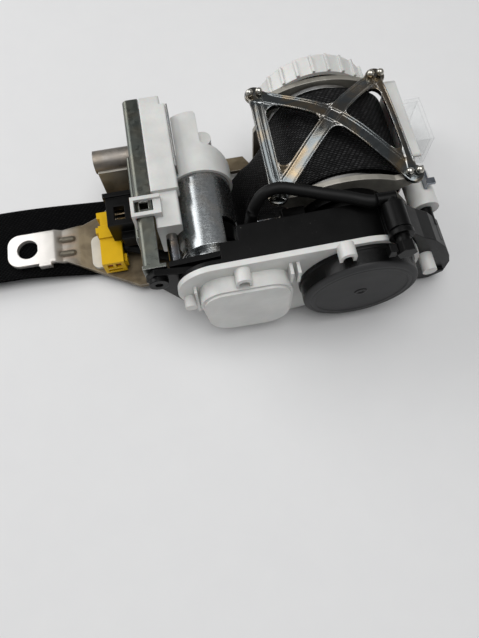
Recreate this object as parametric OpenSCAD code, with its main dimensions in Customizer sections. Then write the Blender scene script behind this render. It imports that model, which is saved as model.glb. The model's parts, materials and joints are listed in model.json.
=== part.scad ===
// Motor-driven seat belt retractor: a stamped steel frame with a crowned X brace, a webbing spool
// with a locking side and a return spring side, a three-stage spur gear drive with its motor, and
// the control unit, connectors and gas-generator lead that sit on it. Millimetres, +Z up.
// The origin is the middle of the mounting tab's bolt hole. X runs along the base plate from the
// tab to the spool, Y runs along the spool axis.

/* [Frame and mounting tab] */
// Radius of the bolt hole in the tab
tab_hole_r = 5.25; // [4:0.25:6]
// Width of the tab
tab_w = 18; // [15:0.5:22]
// Length of the tab past the bolt hole
tab_end = 10; // [8:0.5:14]
// Distance from the bolt hole to the spool axis
tab_reach = 152; // [146:1:165]
// Offset of the spool's middle plane from the bolt hole
tab_offset = 5.5; // [2:0.5:9]
// Height of the tab above the base plate
tab_step = 2.5; // [1:0.25:3]
// Sheet thickness of the frame
sheet_t = 2.5; // [1.8:0.1:3]
// Height of the spool axis above the base plate's inner face
axis_h = 25.9; // [25.5:0.1:29]
// Half width of a frame wall at its foot
wall_foot = 34; // [31:0.5:35]
// Reach of the walls' feet towards the tab
wall_left = 30; // [28:0.5:32]
// Half width of a frame wall at its waist
wall_waist = 23; // [21:0.5:25]
// Half width of the brace's corners
corner_x = 29.5; // [28:0.5:31]
// Reach of the brace's corner over the locking side
corner_far_x = 27; // [25.5:0.5:28]
// Height of the walls' top corners above the spool axis
corner_z = 21; // [20:0.5:23]
// Number of teeth round the locking hole
lock_teeth = 24; // [12:12:36]

/* [X brace] */
// Crown of the brace over its corners
brace_crown = 9; // [7:0.5:11]
// Sheet thickness of the brace
brace_t = 1.6; // [1.2:0.1:2]
// Width of a brace arm
brace_arm_w = 6.5; // [6:0.5:9]
// Width of the brace's rail over the strap
rail_left_w = 5.5; // [5:0.5:8]
// Width of the brace's rail over the shield
rail_right_w = 4.6; // [4.4:0.2:7]

/* [Spool and webbing] */
// Width of the webbing
web_w = 45; // [43:0.5:47]
// Room beside the webbing for the spool's flange, its gap and the wall
web_room = 6; // [5.8:0.1:7]
// Thickness of the webbing
web_t = 1.2; // [1:0.1:1.4]
// Radius of the wound webbing
roll_r = 23; // [18:0.5:23.5]
// Slack of the outer layer beside the roll
web_slack = 5; // [0:0.5:5]
// Radius of the spool's barrel
barrel_r = 9; // [8:0.25:10]
// Radius of the spool's near journal
journal_r = 7; // [6:0.25:7.5]
// Radius of the spool's drive shaft
shaft_r = 5; // [4:0.25:5.5]
// Radius of the torsion bar
torsion_r = 4; // [3:0.25:4.5]
// Length of strap that lies past the mounting tab
strap_past = 40; // [30:1:60]

/* [Gear drive] */
// Module of the gears
gear_m = 1.1; // [1.1:0.01:1.14]
// Teeth of the spool's ring gear
ring_teeth = 42; // [41:1:43]
// Teeth of the idler's small pinion
small_teeth = 15; // [15:1:16]
// Teeth of the idler's large wheel
large_teeth = 42; // [42:1:43]
// Teeth of the motor pinion
motor_teeth = 12; // [12:1:13]
// Face width of the gears
gear_face = 5; // [3.5:0.25:5.5]
// Depth of the gear case
case_depth = 16; // [15:0.5:18]
// Wall of the plastic housings
case_wall = 2; // [1.5:0.1:2.5]
// Radius of the gear cover's rim round the spool
cover_r = 27.8; // [27.6:0.2:30]
// Depth of the pocket that bulges from the gear cover
pocket_depth = 8; // [6:0.25:9]
// Thickness of the gear cover's rim
rim_t = 2.5; // [2:0.1:3]

/* [Spring side] */
// Radius of the spring cover
spring_r = 25.6; // [23:0.2:27]
// Depth of the spring cover
spring_depth = 9.6; // [8:0.2:11]
// Turns of the return spring
spring_turns = 7; // [5:1:9]

/* [Motor] */
// Radius of the motor can
can_r = 14; // [13:0.25:15]
// Length of the motor can
can_l = 40; // [36:0.5:44]
// Radius of the motor shaft
rotor_r = 1.6; // [1.2:0.1:2]
// Distance of the motor axis from the spool axis, along the plate
motor_x = 60.8; // [59:0.2:60.8]
// Drop of the motor axis below the spool axis
motor_drop = 3.4; // [2:0.1:5]

/* [Control unit] */
// Width of the control unit's case
unit_w = 12.5; // [11:0.5:14]
// Length of the control unit's case
unit_l = 52; // [46:1:58]
// Height of the case's top above the spool axis
unit_top = 16.6; // [14:0.2:18]
// Height of the case
unit_h = 32; // [26:0.5:34]
// Thickness of the steel heat plate
plate_t = 1.2; // [0.8:0.1:1.6]
// Radius of the steel tube
tube_r = 5.5; // [4.75:0.25:6.25]

/* [Fits] */
// Radial gap of a running shaft
run_gap = 0.05; // [0.02:0.01:0.08]
// Gap between moving pieces
free_gap = 0.5; // [0.3:0.05:0.8]
// Gap between pieces that sit side by side
seat_gap = 0.1; // [0.05:0.05:0.3]
// Backlash of the gears at the pitch circle
backlash = 0.28; // [0.2:0.02:0.36]

/* [Hidden] */
$fn = 64;

// Frame
frame_w = web_w + 2 * web_room;
axis_z = axis_h + sheet_t / 2 - tab_step;
plate_z = -axis_h - sheet_t;
tab_z = plate_z + tab_step;
wall_in = frame_w / 2 - sheet_t;
wall_out = frame_w / 2;
bend_r = 3;
window_l = 10;
window_x = -wall_left - 16;
strap_y = -1.5;
window_w = web_w + 4;
lock_tip_r = 18.2;
lock_root_r = 20.4;
floor_z = plate_z - 5;
plate_left = -98;
flare_x = -135;
tab_y = -tab_offset;
arch_r = 46;
arch_rise = 5;

// Spool stack, along Y from the near side to the far side
spool_half = wall_in - 0.8;
flange_t = 1.7;
flange_r = roll_r + 1;
bush_r = journal_r + 2.5;
bush_flange = bush_r + 1.5;
case_back = -wall_out - 11.5;
case_front = case_back - case_depth;
cover_front = case_front - rim_t;
spring_front = cover_front - spring_depth;
shaft_end = spring_front + 2.6;
journal_end = case_back + 3;
lock_base_r = lock_tip_r - 1;
lock_base_y0 = spool_half + 0.3;
lock_base_y1 = lock_base_y0 + 5;
far_journal_r = 5;
sensor_r = 28.5;
sensor_depth = 11.5;
sensor_end = wall_out + sensor_depth;
far_end = sensor_end - 2.4;
ratchet_r = 22;
ratchet_teeth = 36;
ratchet_y0 = lock_base_y1 + 1.2;
ratchet_t = 2;

// Gear positions, in the plane across the spool axis
motor_c = [-motor_x, -motor_drop];
ring_dist = gear_m * (ring_teeth + small_teeth) / 2;
motor_dist = gear_m * (large_teeth + motor_teeth) / 2;
axis_dist = norm(motor_c);
idler_along = (axis_dist * axis_dist + ring_dist * ring_dist - motor_dist * motor_dist) / (2 * axis_dist);
idler_off = sqrt(max(0, ring_dist * ring_dist - idler_along * idler_along));
motor_dir = motor_c / axis_dist;
idler_c = idler_along * motor_dir - idler_off * [motor_dir[1], -motor_dir[0]];
ring_angle = atan2(idler_c[1], idler_c[0]);
motor_angle = atan2(motor_c[1] - idler_c[1], motor_c[0] - idler_c[0]);
pressure = 25;
layer_gap = 1;
layer1_y1 = case_back - case_wall - layer_gap;
layer1_y0 = layer1_y1 - gear_face;
layer2_y1 = layer1_y0 - layer_gap;
layer2_y0 = layer2_y1 - gear_face;
idler_pin_r = 2.5;
wheel_room = gear_m * (large_teeth / 2 + 0.85) + free_gap;
left_back = case_back - 6.5;
left_c = [-motor_x, 9];
left_r = 17;

// Clutch in the ring gear's recess
web_y0 = layer1_y1 - 1.4;
recess_r = gear_m * ring_teeth / 2 - 6.5;
hub_r = shaft_r + 2.4;
clutch_notches = 12;
clutch_pin_r = 1.2;
clutch_pin_c = [0, hub_r + 3];

// Lock pawl
lock_pin_r = 2;
lock_pin_c = [0, 11.5];
pawl_reach = 13;

// Motor
can_y0 = case_back + 2;
can_y1 = can_y0 + can_l;
can_wall = 1.2;
nose_r = 10.5;

// Control unit
unit_x0 = -83;
unit_x1 = unit_x0 + unit_w;
unit_y0 = -11;
unit_y1 = unit_y0 + unit_l;
unit_bottom = unit_top - unit_h;
heat_x0 = unit_x0 - 7.5;
heat_y0 = left_back - 0.5;
heat_y1 = unit_y1;
tube_x0 = -109.5;
tube_y = 23.6;
tube_z = -2.2;
socket_x0 = -107;
socket_y0 = -15;
socket_y1 = 1.4;
socket_top = 0.6;
pad_x0 = -120;
pad_x1 = -102.5;
pad_y0 = -22;
pad_y1 = -4;
pad_t = 2;

// Gas generator and its lead
gen_r = 4.6;
gen_c = [12.6, 30.6];
gen_y1 = case_back - 5.5;
gen_y0 = case_front - 4;
lead_r = 2.6;
elbow_y = case_back - 2.4;
lead_y = -wall_out;
lead_route = [[gen_c[0] - 5.65, elbow_y, gen_c[1]], [gen_c[0] - 7, elbow_y, gen_c[1]], [3, lead_y - 13, 30.4], [-3, lead_y - 10, 29.9],
    [-12, lead_y - 6.1, 29.2], [-22, lead_y - 1.9, 28.8], [-30, lead_y + 0.5, 28.8], [-36, lead_y + 0.1, 27],
    [-40.5, lead_y - 2.3, 21], [-42.6, lead_y - 4.1, 10], [-43, lead_y - 4.5, -6], [-45.5, lead_y - 3.9, -15],
    [-52, lead_y - 2.1, -21], [-64, -27.6, -22.9], [-80, -23.4, -22.9], [-90, -19.6, -22.4], [-97, -16.8, -20.2],
    [-101.4, -16, -19.4], [-102.95, -16, -19.4]];

sleeve_c = [38, 2.5];
sleeve_r = 6.4;
sleeve_y1 = 11.1 - wall_out;
hook_x0 = sleeve_c[0];
hook_y0 = 0.5 - wall_out;
hook_t = 1.2;
hook_z = sleeve_c[1] + sleeve_r - 1;

// Sensor
ball_r = 4;
pod_y0 = wall_out + 0.7;
pod_y1 = pod_y0 + 11.8;
ball_c = [36, pod_y0 + 5.8, -23];
cup_z = -28.4;
lever_c = [44.5, -15.8];

zinc = [0.72, 0.73, 0.74];
brown_zinc = [0.62, 0.55, 0.42];
black = [0.11, 0.11, 0.11];
white = [0.92, 0.92, 0.9];
dark_steel = [0.4, 0.41, 0.4];

// Every sub-part is drawn from the middle of the spool and then carried to the tab's bolt hole.
module placed() {
    translate([tab_reach, tab_offset, axis_z]) children();
}

// Cylinder along Y
module ycyl(r, y0, y1, c = [0, 0]) {
    translate([c[0], y0, c[1]]) rotate([-90, 0, 0]) cylinder(r = r, h = y1 - y0);
}

// Outline in X and Z, extruded along Y
module yext(y0, y1) {
    translate([0, y1, 0]) rotate([90, 0, 0]) linear_extrude(y1 - y0) children();
}

// Outline in Y and Z, extruded along X
module xext(x0, x1) {
    translate([x0, 0, 0]) rotate([90, 0, 90]) linear_extrude(x1 - x0) children();
}

// Block between two corners
module block(a, b) {
    translate(a) cube(b - a);
}

// Rectangle with round corners
module rrect(x0, x1, y0, y1, r) {
    translate([x0 + r, y0]) square([x1 - x0 - 2 * r, y1 - y0]);
    translate([x0, y0 + r]) square([x1 - x0, y1 - y0 - 2 * r]);
    for (x = [x0 + r, x1 - r], y = [y0 + r, y1 - r]) translate([x, y]) circle(r = r);
}

// Two circles and their outer tangents
module belt(c1, r1, c2, r2) {
    d = norm(c2 - c1);
    phi = atan2(c2[1] - c1[1], c2[0] - c1[0]);
    beta = acos((r1 - r2) / d);
    u = [cos(phi + beta), sin(phi + beta)];
    v = [cos(phi - beta), sin(phi - beta)];
    translate(c1) circle(r = r1);
    translate(c2) circle(r = r2);
    polygon([c1 + r1 * u, c2 + r2 * u, c2 + r2 * v, c1 + r1 * v]);
}

// Bar of width w with round ends between two points
module bar(p, q, w) {
    d = (q - p) / norm(q - p);
    n = [-d[1], d[0]] * w / 2;
    translate(p) circle(d = w);
    translate(q) circle(d = w);
    polygon([p + n, p - n, q - n, q + n]);
}

// Involute function of an angle, in degrees
function inv(a) = tan(a) * 180 / PI - a;

// Half of a tooth's angle at radius r
function tooth_half(r, n, rp, rb) =
    90 / n - backlash / 2 / rp * 180 / PI + inv(pressure) - inv(acos(min(1, rb / r)));

// Spur gear outline with n teeth, a tooth on the given angle
module gear2d(n, phase) {
    rp = gear_m * n / 2;
    rb = rp * cos(pressure);
    root = rp - 1.25 * gear_m;
    tip = rp + 0.85 * gear_m;
    low = max(root + 0.05, rb);
    radii = [root, low, (low + tip) / 2, tip];
    flank = [for (r = radii) [r, tooth_half(max(r, low), n, rp, rb)]];
    polygon([for (i = [0 : n - 1]) each concat(
        [for (k = [0 : 3]) let (a = phase + 360 * i / n - flank[k][1]) flank[k][0] * [cos(a), sin(a)]],
        [for (k = [3 : -1 : 0]) let (a = phase + 360 * i / n + flank[k][1]) flank[k][0] * [cos(a), sin(a)]]
    )]);
}

// Ratchet outline: n saw teeth between two radii, a valley on the given angle
module saw2d(n, r_in, r_out, phase, share) {
    step = 360 / n;
    polygon([for (i = [0 : n - 1]) let (a = phase + i * step) each [
        r_in * [cos(a - step * share), sin(a - step * share)],
        r_in * [cos(a + step * share), sin(a + step * share)],
        r_out * [cos(a + step * (share + 0.1)), sin(a + step * (share + 0.1))],
        r_out * [cos(a + step * (1 - share - 0.1)), sin(a + step * (1 - share - 0.1))]
    ]]);
}

// Frame: one stamping with two walls, a long base plate with the webbing window, and the raised tab

module channel_section() {
    h = axis_h + sheet_t + corner_z + 2 * arch_rise;
    difference() {
        union() {
            translate([-wall_out, bend_r + sheet_t]) square([frame_w, h - bend_r - sheet_t]);
            translate([-wall_out + bend_r + sheet_t, 0]) square([frame_w - 2 * (bend_r + sheet_t), h]);
            for (s = [-1, 1]) translate([s * (wall_out - bend_r - sheet_t), bend_r + sheet_t])
                circle(r = bend_r + sheet_t);
        }
        translate([-wall_in, bend_r + sheet_t]) square([2 * wall_in, h]);
        translate([-wall_in + bend_r, sheet_t]) square([2 * (wall_in - bend_r), h]);
        for (s = [-1, 1]) translate([s * (wall_in - bend_r), bend_r + sheet_t]) circle(r = bend_r);
    }
}

// Side view of a wall: wide foot, waist, ears at the top corners and an arched top edge
module wall_outline() {
    rise_x = corner_x - 8;
    polygon(concat(
        [[-wall_left, plate_z], [wall_foot, plate_z], [wall_foot, -4], [wall_waist, 12],
            [corner_x + 2, corner_z - 4], [corner_x + 2, corner_z], [rise_x, corner_z]],
        [for (k = [0 : 12]) let (x = rise_x * (1 - k / 6)) [x, corner_z + arch_rise * (1 - pow(x / rise_x, 2))]],
        [[-corner_x - 2, corner_z], [-corner_x - 2, corner_z - 4], [-wall_waist, 12], [-wall_left, -2]]));
}

module base_outline() {
    flat = wall_in - bend_r;
    polygon([[-wall_left + 1, -flat], [-wall_left + 1, flat], [-wall_left - 2, flat + 3], [-wall_left - 5, wall_out + 3],
        [plate_left + 8, wall_out + 3],
        [plate_left - 2, wall_out - 5], [plate_left - 16, tab_y + tab_w / 2 + 5.5],
        [flare_x, tab_y + tab_w / 2 - 3], [flare_x, tab_y - tab_w / 2 + 1],
        [plate_left, -wall_out - 6], [-wall_left - 9, -wall_out - 6], [-wall_left - 2, -flat - 3]]);
}

module tab_outline() {
    x1 = flare_x - tab_step - 1;
    r = 6;
    difference() {
        union() {
            rrect(-tab_reach - tab_end, -tab_reach + tab_end, tab_y - tab_w / 2, tab_y + tab_w / 2, r);
            translate([-tab_reach, tab_y - tab_w / 2]) square([12, tab_w]);
            translate([-tab_reach, tab_y - tab_w / 2 + 2]) square([tab_reach + x1, tab_w - 5]);
        }
        translate([-tab_reach, tab_y]) circle(r = tab_hole_r);
    }
}

module frame() {
    color(brown_zinc) placed() {
        difference() {
            union() {
                intersection() {
                    translate([0, 0, plate_z]) xext(-wall_left, wall_foot) channel_section();
                    yext(-wall_out - 1, wall_out + 1) wall_outline();
                }
                translate([0, 0, plate_z]) linear_extrude(sheet_t) base_outline();
                translate([0, 0, tab_z]) linear_extrude(sheet_t) tab_outline();
                // joggle between plate and tab
                yext(tab_y - tab_w / 2 + 2, tab_y + tab_w / 2 - 3) polygon([[flare_x, plate_z],
                    [flare_x - tab_step - 1, tab_z], [flare_x - tab_step - 1, tab_z + sheet_t],
                    [flare_x, plate_z + sheet_t]]);
                // two pressed gussets across the joggle
                for (y = [tab_y - 4.6, tab_y + 3.4]) translate([flare_x - 2, y, plate_z + sheet_t - 0.4])
                    rotate([0, 90, 0]) rotate_extrude($fn = 32) polygon([[0, 0], [1.2, 0.4], [1.7, 1.2], [1.9, 2.4],
                        [1.9, 6.6], [1.7, 7.8], [1.2, 8.6], [0, 9]]);
                // bent-down lug on the tab's near edge
                block([-tab_reach + 5.5, tab_y - tab_w / 2 - 1.6, tab_z - 0.9],
                    [-tab_reach + 11.5, tab_y - tab_w / 2 + 1, tab_z + sheet_t]);
            }
            translate([window_x, strap_y - window_w / 2, plate_z - 1]) cube([window_l, window_w, sheet_t + 2]);
            // far wall's right ear is shorter
            block([corner_far_x + 2, 0, corner_z - 12], [corner_x + 12, wall_out + 1, corner_z + 1]);
            ycyl(bush_r, -wall_out - 1, -wall_in + 1);
            yext(wall_in - 1, wall_out + 1) saw2d(lock_teeth, lock_root_r, lock_tip_r, 48, 0.28);
        }
    }
}

// Crowned brace: two crossed arms and two side rails on the walls' top corners

function crown_z(x, y) = corner_z + brace_crown * (1 - pow(x / corner_x, 2)) * (1 - pow(y / wall_out, 2))
    + brace_crown * 0.15 * (1 - pow(y / wall_out, 2));

// Corners from the far left one, clockwise from above
wall_mid = wall_out - sheet_t / 2;
corners = [[-corner_x, wall_mid], [corner_far_x, wall_mid], [corner_x, -wall_mid], [-corner_x, -wall_mid]];

// Channel-shaped strip swept over the crown from p to q, with lips along its two edges
module crown_strip(p, q, w, lip) {
    n = 12;
    d = (q - p) / norm(q - p);
    s = [-d[1], d[0]];
    prof = [[-w / 2, 0], [w / 2, 0], [w / 2, brace_t + lip], [w / 2 - 1.1, brace_t + lip],
        [w / 2 - 1.6, brace_t], [-w / 2 + 1.6, brace_t], [-w / 2 + 1.1, brace_t + lip], [-w / 2, brace_t + lip]];
    m = len(prof);
    pts = [for (i = [0 : n]) let (c = p + (q - p) * i / n, z = crown_z(c[0], c[1])) each
        [for (k = [0 : m - 1]) [c[0] + s[0] * prof[k][0], c[1] + s[1] * prof[k][0], z + prof[k][1]]]];
    sides = [for (i = [0 : n - 1], k = [0 : m - 1]) each let (a = i * m + k, b = i * m + (k + 1) % m) [
        [a, b + m, b], [a, a + m, b + m]]];
    cells = [[1, 2, 3, 4], [0, 1, 4, 5], [0, 5, 6, 7]];
    caps = [for (c = cells) each [c, [for (k = [3 : -1 : 0]) n * m + c[k]]]];
    polyhedron(points = pts, faces = concat(sides, caps), convexity = 6);
}

module x_brace() {
    color(zinc) placed() difference() {
        union() {
            crown_strip(corners[0], corners[2], brace_arm_w, 0.9);
            crown_strip(corners[3], corners[1], brace_arm_w, 0.9);
            crown_strip(corners[3], corners[0], rail_left_w, 0.7);
            crown_strip(corners[2], corners[1], rail_right_w, 0.7);
            for (c = corners) translate([c[0], c[1], corner_z]) cylinder(r = 4.4, h = brace_t);
        }
        for (c = corners, k = [-1, 1])
            translate([c[0] + k * 2.2, c[1], corner_z - 1]) {
                cylinder(r = 1.2, h = 12);
                translate([0, 0, 1 + brace_t - 0.4]) cylinder(r = 1.8, h = 12);
            }
    }
}

// Two staked lugs through each corner of the brace
module brace_rivets() {
    color(zinc) placed() for (c = corners, k = [-1, 1])
        translate([c[0] + k * 2.2, c[1], corner_z]) {
            cylinder(r = 1.2, h = brace_t + 1.4);
            translate([0, 0, brace_t + 1.4]) sphere(r = 1.7);
        }
}

module near_bush() {
    color(white) placed() rotate([90, 0, 0]) rotate_extrude() polygon([[journal_r + run_gap, wall_in - 0.4],
        [journal_r + run_gap, wall_out + 1.2], [bush_flange, wall_out + 1.2], [bush_flange, wall_out],
        [bush_r, wall_out], [bush_r, wall_in - 0.4]]);
}

module far_bush() {
    color(black) placed() difference() {
        ycyl(far_journal_r + 2, far_end - 3.3, far_end);
        ycyl(far_journal_r + run_gap, far_end - 7, far_end + 1);
    }
}

// Webbing: the free run leaves the roll, drops through the window and lies under the plate

function slack(a) = web_slack * pow(sin(180 * max(0, min(1, (a + 60) / 156))), 2);
function roll_off(a) = (roll_r + free_gap + web_t / 2 + slack(a)) * [cos(a), sin(a)];
strap_lie = floor_z + web_t / 2 + 0.1;
window_mid = window_x + window_l / 2;
strap_route = concat(
    [for (a = [-58 : 8 : 166]) roll_off(a)],
    [[-25.4, -3.5], [-29, -12], [-33.6, -19], [window_mid + 2.6, -24], [window_mid, plate_z],
        [window_mid - 2, plate_z - 2.6],
        [window_mid - 7, strap_lie], [-70, strap_lie], [-100, strap_lie], [flare_x + 5, strap_lie],
        [-tab_reach, strap_lie], [-tab_reach - strap_past, strap_lie]]);
strap_n = len(strap_route);
function strap_dir(i) = let (d = strap_route[min(i + 1, strap_n - 1)] - strap_route[max(i - 1, 0)]) d / norm(d);
// sideways drift from the roll to the window, and lift of the near edge towards the tab
function strap_drift(x) = strap_y * min(1, max(0, (-x - 21) / 13));
function strap_lift(x) = 5.4 * min(1, max(0, (-x - 98) / 54));
function strap_corner(i, s, e) = let (c = strap_route[i], n = [-strap_dir(i)[1], strap_dir(i)[0]] * s * web_t / 2)
    [c[0] + n[0], strap_drift(c[0]) + e * web_w / 2, c[1] + n[1] + (e < 0 ? strap_lift(c[0]) : 0)];

module webbing_strap() {
    pts = [for (i = [0 : strap_n - 1]) each [strap_corner(i, 1, -1), strap_corner(i, 1, 1), strap_corner(i, -1, 1),
        strap_corner(i, -1, -1)]];
    sides = [for (i = [0 : strap_n - 2], k = [0 : 3]) each let (a = 4 * i + k, b = 4 * i + (k + 1) % 4) [
        [a, b, b + 4], [a, b + 4, a + 4]]];
    caps = [[3, 2, 1, 0], [for (k = [0 : 3]) 4 * (strap_n - 1) + k]];
    color([0.06, 0.06, 0.06]) placed() polyhedron(points = pts, faces = concat(sides, caps), convexity = 6);
}

// Gear case: a tray behind the gears, with its seat on the near wall, motor nose and left lug

// Tangent strip of a belt, without its two circles
module belt_strip(c1, r1, c2, r2) {
    d = norm(c2 - c1);
    phi = atan2(c2[1] - c1[1], c2[0] - c1[0]);
    beta = acos((r1 - r2) / d);
    u = [cos(phi + beta), sin(phi + beta)];
    v = [cos(phi - beta), sin(phi - beta)];
    polygon([c1 + r1 * u, c2 + r2 * u, c2 + r2 * v, c1 + r1 * v]);
}

module case_outline(grow) {
    spool_r = cover_r - 1 + grow;
    wheel_r = wheel_room + case_wall + grow;
    end_r = left_r - 1 + grow;
    pinion_r = 12 + grow;
    circle(r = spool_r);
    translate(idler_c) circle(r = wheel_r);
    translate(left_c) circle(r = end_r);
    translate(motor_c) circle(r = pinion_r);
    belt_strip([0, 0], spool_r, left_c, end_r);
    belt_strip(idler_c, wheel_r, left_c, end_r);
    belt_strip(idler_c, wheel_r - 0.4, motor_c, pinion_r - 0.4);
}

module gear_housing() {
    boss_c = [-85, 11.5];
    deep_x = motor_c[0] + nose_r + free_gap;
    low_x = idler_c[0] - wheel_room - case_wall - 0.2;
    low_z = motor_c[1] + 13;
    color(black) placed() difference() {
        union() {
            difference() {
                yext(case_front, case_back) case_outline(0);
                block([-90, left_back, -60], [deep_x, case_back + 1, 60]);
                block([-90, case_front + 2.5, low_z], [low_x, case_back + 1, 60]);
            }
            // seat on the near wall
            translate([0, -wall_out, 0]) rotate([90, 0, 0]) rotate_extrude() polygon([[bush_flange + free_gap, 0],
                [20.5, 0], [20.5, 4], [17, 4], [17, -case_back - wall_out + 1],
                [bush_flange + free_gap, -case_back - wall_out + 1]]);
            // shelf towards the frame
            block([-28, case_back - 1, -24], [-18, -wall_out, 13]);
            block([13, case_back - 1, -22], [19.4, -wall_out, -4]);
            // back plate round the motor nose, carried on to the left lug
            yext(left_back - 1, left_back + 1.5) polygon([[-80, 4], [-79.5, 14], [-45, 17], [-45, -14], [-76, -16]]);
            yext(case_front + 4, case_front + 7) polygon([[-86, 6], [-90, 12], [-86, 17], [-70, 14], [-70, -14],
                [-76, -16]]);
            ycyl(4.2, case_front + 2, heat_y0 - plate_t, boss_c);
            for (z = [-10, 0]) block([-80, case_front + 5, z], [-74, left_back + 1.5, z + 1.5]);
            // cradle under the gas generator
            block([gen_c[0] - 4, case_front, 20], [gen_c[0] + 4, case_back - 0.5, gen_c[1] - 3]);
        }
        difference() {
            yext(case_front - 1, case_back - case_wall) case_outline(-case_wall);
            block([-90, left_back - case_wall, -60], [deep_x + case_wall, case_back + 1, 60]);
            block([-90, case_front + 2.5 - case_wall, low_z - case_wall], [low_x + case_wall, case_back + 1, 60]);
            ycyl(5, layer1_y1 + 0.4, case_back, idler_c);
        }
        ycyl(gen_r + seat_gap, case_front - 1, -20, gen_c);
        ycyl(journal_r + free_gap, case_back - case_wall - 1, case_back + 1);
        ycyl(idler_pin_r, layer1_y1, case_back + 1, idler_c);
        ycyl(nose_r + seat_gap, left_back, case_back + 3, motor_c);
        ycyl(rotor_r + 2.5, left_back - case_wall - 1, case_back + 1, motor_c);
        ycyl(1.7, case_front, case_back, boss_c);
    }
}

// Gear cover: rim, deep pocket over the idler wheel, two half-tube clips, ribs and a peg

module pocket_outline(inset) {
    belt([-40.5, 8], 10.5 - inset, [-58.5, 8], 10.5 - inset);
    belt([-42, -11], 12 - inset, [-55.5, -11], 11.5 - inset);
    polygon([[-30 - inset, 8], [-30 - inset, -11], [-67 + inset, -11], [-69 + inset, 8]]);
}

module gear_cover() {
    pocket_front = cover_front - pocket_depth;
    color(white) placed() difference() {
        union() {
            yext(cover_front, case_front) {
                case_outline(1);
            }
            yext(pocket_front + 1.2, cover_front) pocket_outline(0);
            yext(pocket_front, pocket_front + 1.2) pocket_outline(1.2);
            // half-tube clips on the rim
            for (p = [[-50.5, 22], [-9.2, 28.8]]) difference() {
                yext(cover_front - 6, cover_front) {
                    translate(p) circle(r = 3.3);
                    translate(p + [-3.3, -3]) square([6.6, 3]);
                }
                yext(cover_front - 7, cover_front - 1.5) {
                    translate(p + [0, -1]) circle(r = 2.1);
                    translate(p + [-2.1, -5]) square([4.2, 4]);
                }
            }
            // ribs between pocket and spring cover
            for (x = [-31.4, -28.4]) block([x, cover_front - 5, 12], [x + 1.4, cover_front, 21]);
            // peg and upright rib at the left end
            ycyl(2.6, cover_front - 5, cover_front, [-73.5, 4]);
            block([-71, cover_front - 3, -6], [-69.8, cover_front, 14]);
            // locating ring inside the spring cover
            difference() {
                ycyl(spring_r - 2.2, cover_front - 1.2, cover_front);
                ycyl(spring_r - 3.6, cover_front - 2, cover_front + 1);
            }
        }
        ycyl(shaft_r + 3.4, cover_front - 2, case_front + 1);
        yext(pocket_front + case_wall, case_front + 1) pocket_outline(case_wall);
        ycyl(idler_pin_r, cover_front - 0.5, case_front + 1, idler_c);
    }
}

module idler_axle() {
    color(dark_steel) placed() ycyl(idler_pin_r, pocket_seat, case_back, idler_c);
}
pocket_seat = cover_front + 0.4;

// Spring cover: turned cup with a rolled front edge and a shallow face
module spring_cover() {
    d = spring_depth;
    r = spring_r;
    color(black) placed() translate([0, cover_front, 0]) rotate([90, 0, 0]) rotate_extrude($fn = 128) difference() {
        union() {
            polygon([[0, 0], [r, 0], [r, 1.4], [r - 0.5, 1.9], [r - 0.5, d - 2], [r - 2.5, d - 0.5],
                [r - 4, d], [r - 5, d], [r - 5.4, d - 0.4], [0, d - 0.4]]);
            translate([r - 2.5, d - 2]) circle(r = 2);
        }
        translate([-1, -1]) square([r - 2.2 + 1, d - 2 + 1]);
    }
}

// Return spring: flat spiral between the arbor and the cover
spring_in = shaft_r + 4.6;
spring_out = spring_r - 3.2;
spring_t = 0.5;
function spiral(a, off) = let (r = spring_in + (spring_out - spring_in) * a / (360 * spring_turns) + off)
    [r * cos(a), r * sin(a)];

module return_spring() {
    step = 20;
    color(dark_steel) placed() yext(cover_front - spring_depth + 2.6, cover_front - 1.6) polygon(concat(
        [for (a = [0 : step : 360 * spring_turns]) spiral(a, 0)],
        [for (a = [360 * spring_turns : -step : 0]) spiral(a, spring_t)]));
}

// Motor: drawn can, near end bell, bushes, magnets, brush holder and the plastic cap on its far end

module motor_can() {
    color(zinc) placed() difference() {
        translate([motor_c[0], can_y1, motor_c[1]]) rotate([90, 0, 0]) rotate_extrude() polygon([[4.2, 0], [can_r - 2, 0],
            [can_r - 0.6, 0.6], [can_r, 2], [can_r, can_l], [can_r - can_wall, can_l],
            [can_r - can_wall, can_wall], [4.2, can_wall]]);
        // brush window on the spool side
        translate([motor_c[0], 0, motor_c[1]]) rotate([0, -38, 0])
            block([can_r - 5, can_y0 - 1, -5], [can_r + 2, can_y0 + 14, 5]);
    }
}

module motor_end_bell() {
    color(zinc) placed() difference() {
        union() {
            ycyl(can_r - can_wall, can_y0, can_y0 + 2, motor_c);
            ycyl(nose_r, left_back, can_y0, motor_c);
        }
        ycyl(4.2, left_back - 1, can_y0 + 3, motor_c);
    }
}

module motor_bushes() {
    color([0.7, 0.5, 0.25]) placed() for (y = [left_back, can_y1 - can_wall - 2.4]) difference() {
        ycyl(4.2, y, y + 3, motor_c);
        ycyl(rotor_r + run_gap, y - 1, y + 4, motor_c);
    }
}

module motor_magnets() {
    color([0.2, 0.2, 0.22]) placed() for (s = [0, 180]) intersection() {
        difference() {
            ycyl(can_r - can_wall, can_y0 + 17, can_y1 - 4, motor_c);
            ycyl(can_r - can_wall - 2.6, can_y0 + 16, can_y1 - 3, motor_c);
        }
        yext(can_y0, can_y1) translate(motor_c) rotate(s) polygon([[0, 0], [24, 15], [24, -15]]);
    }
}

module brush_holder() {
    color(black) placed() difference() {
        ycyl(can_r - can_wall, can_y0 + 4, can_y0 + 12, motor_c);
        ycyl(7, can_y0 + 3, can_y0 + 13, motor_c);
    }
}

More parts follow.
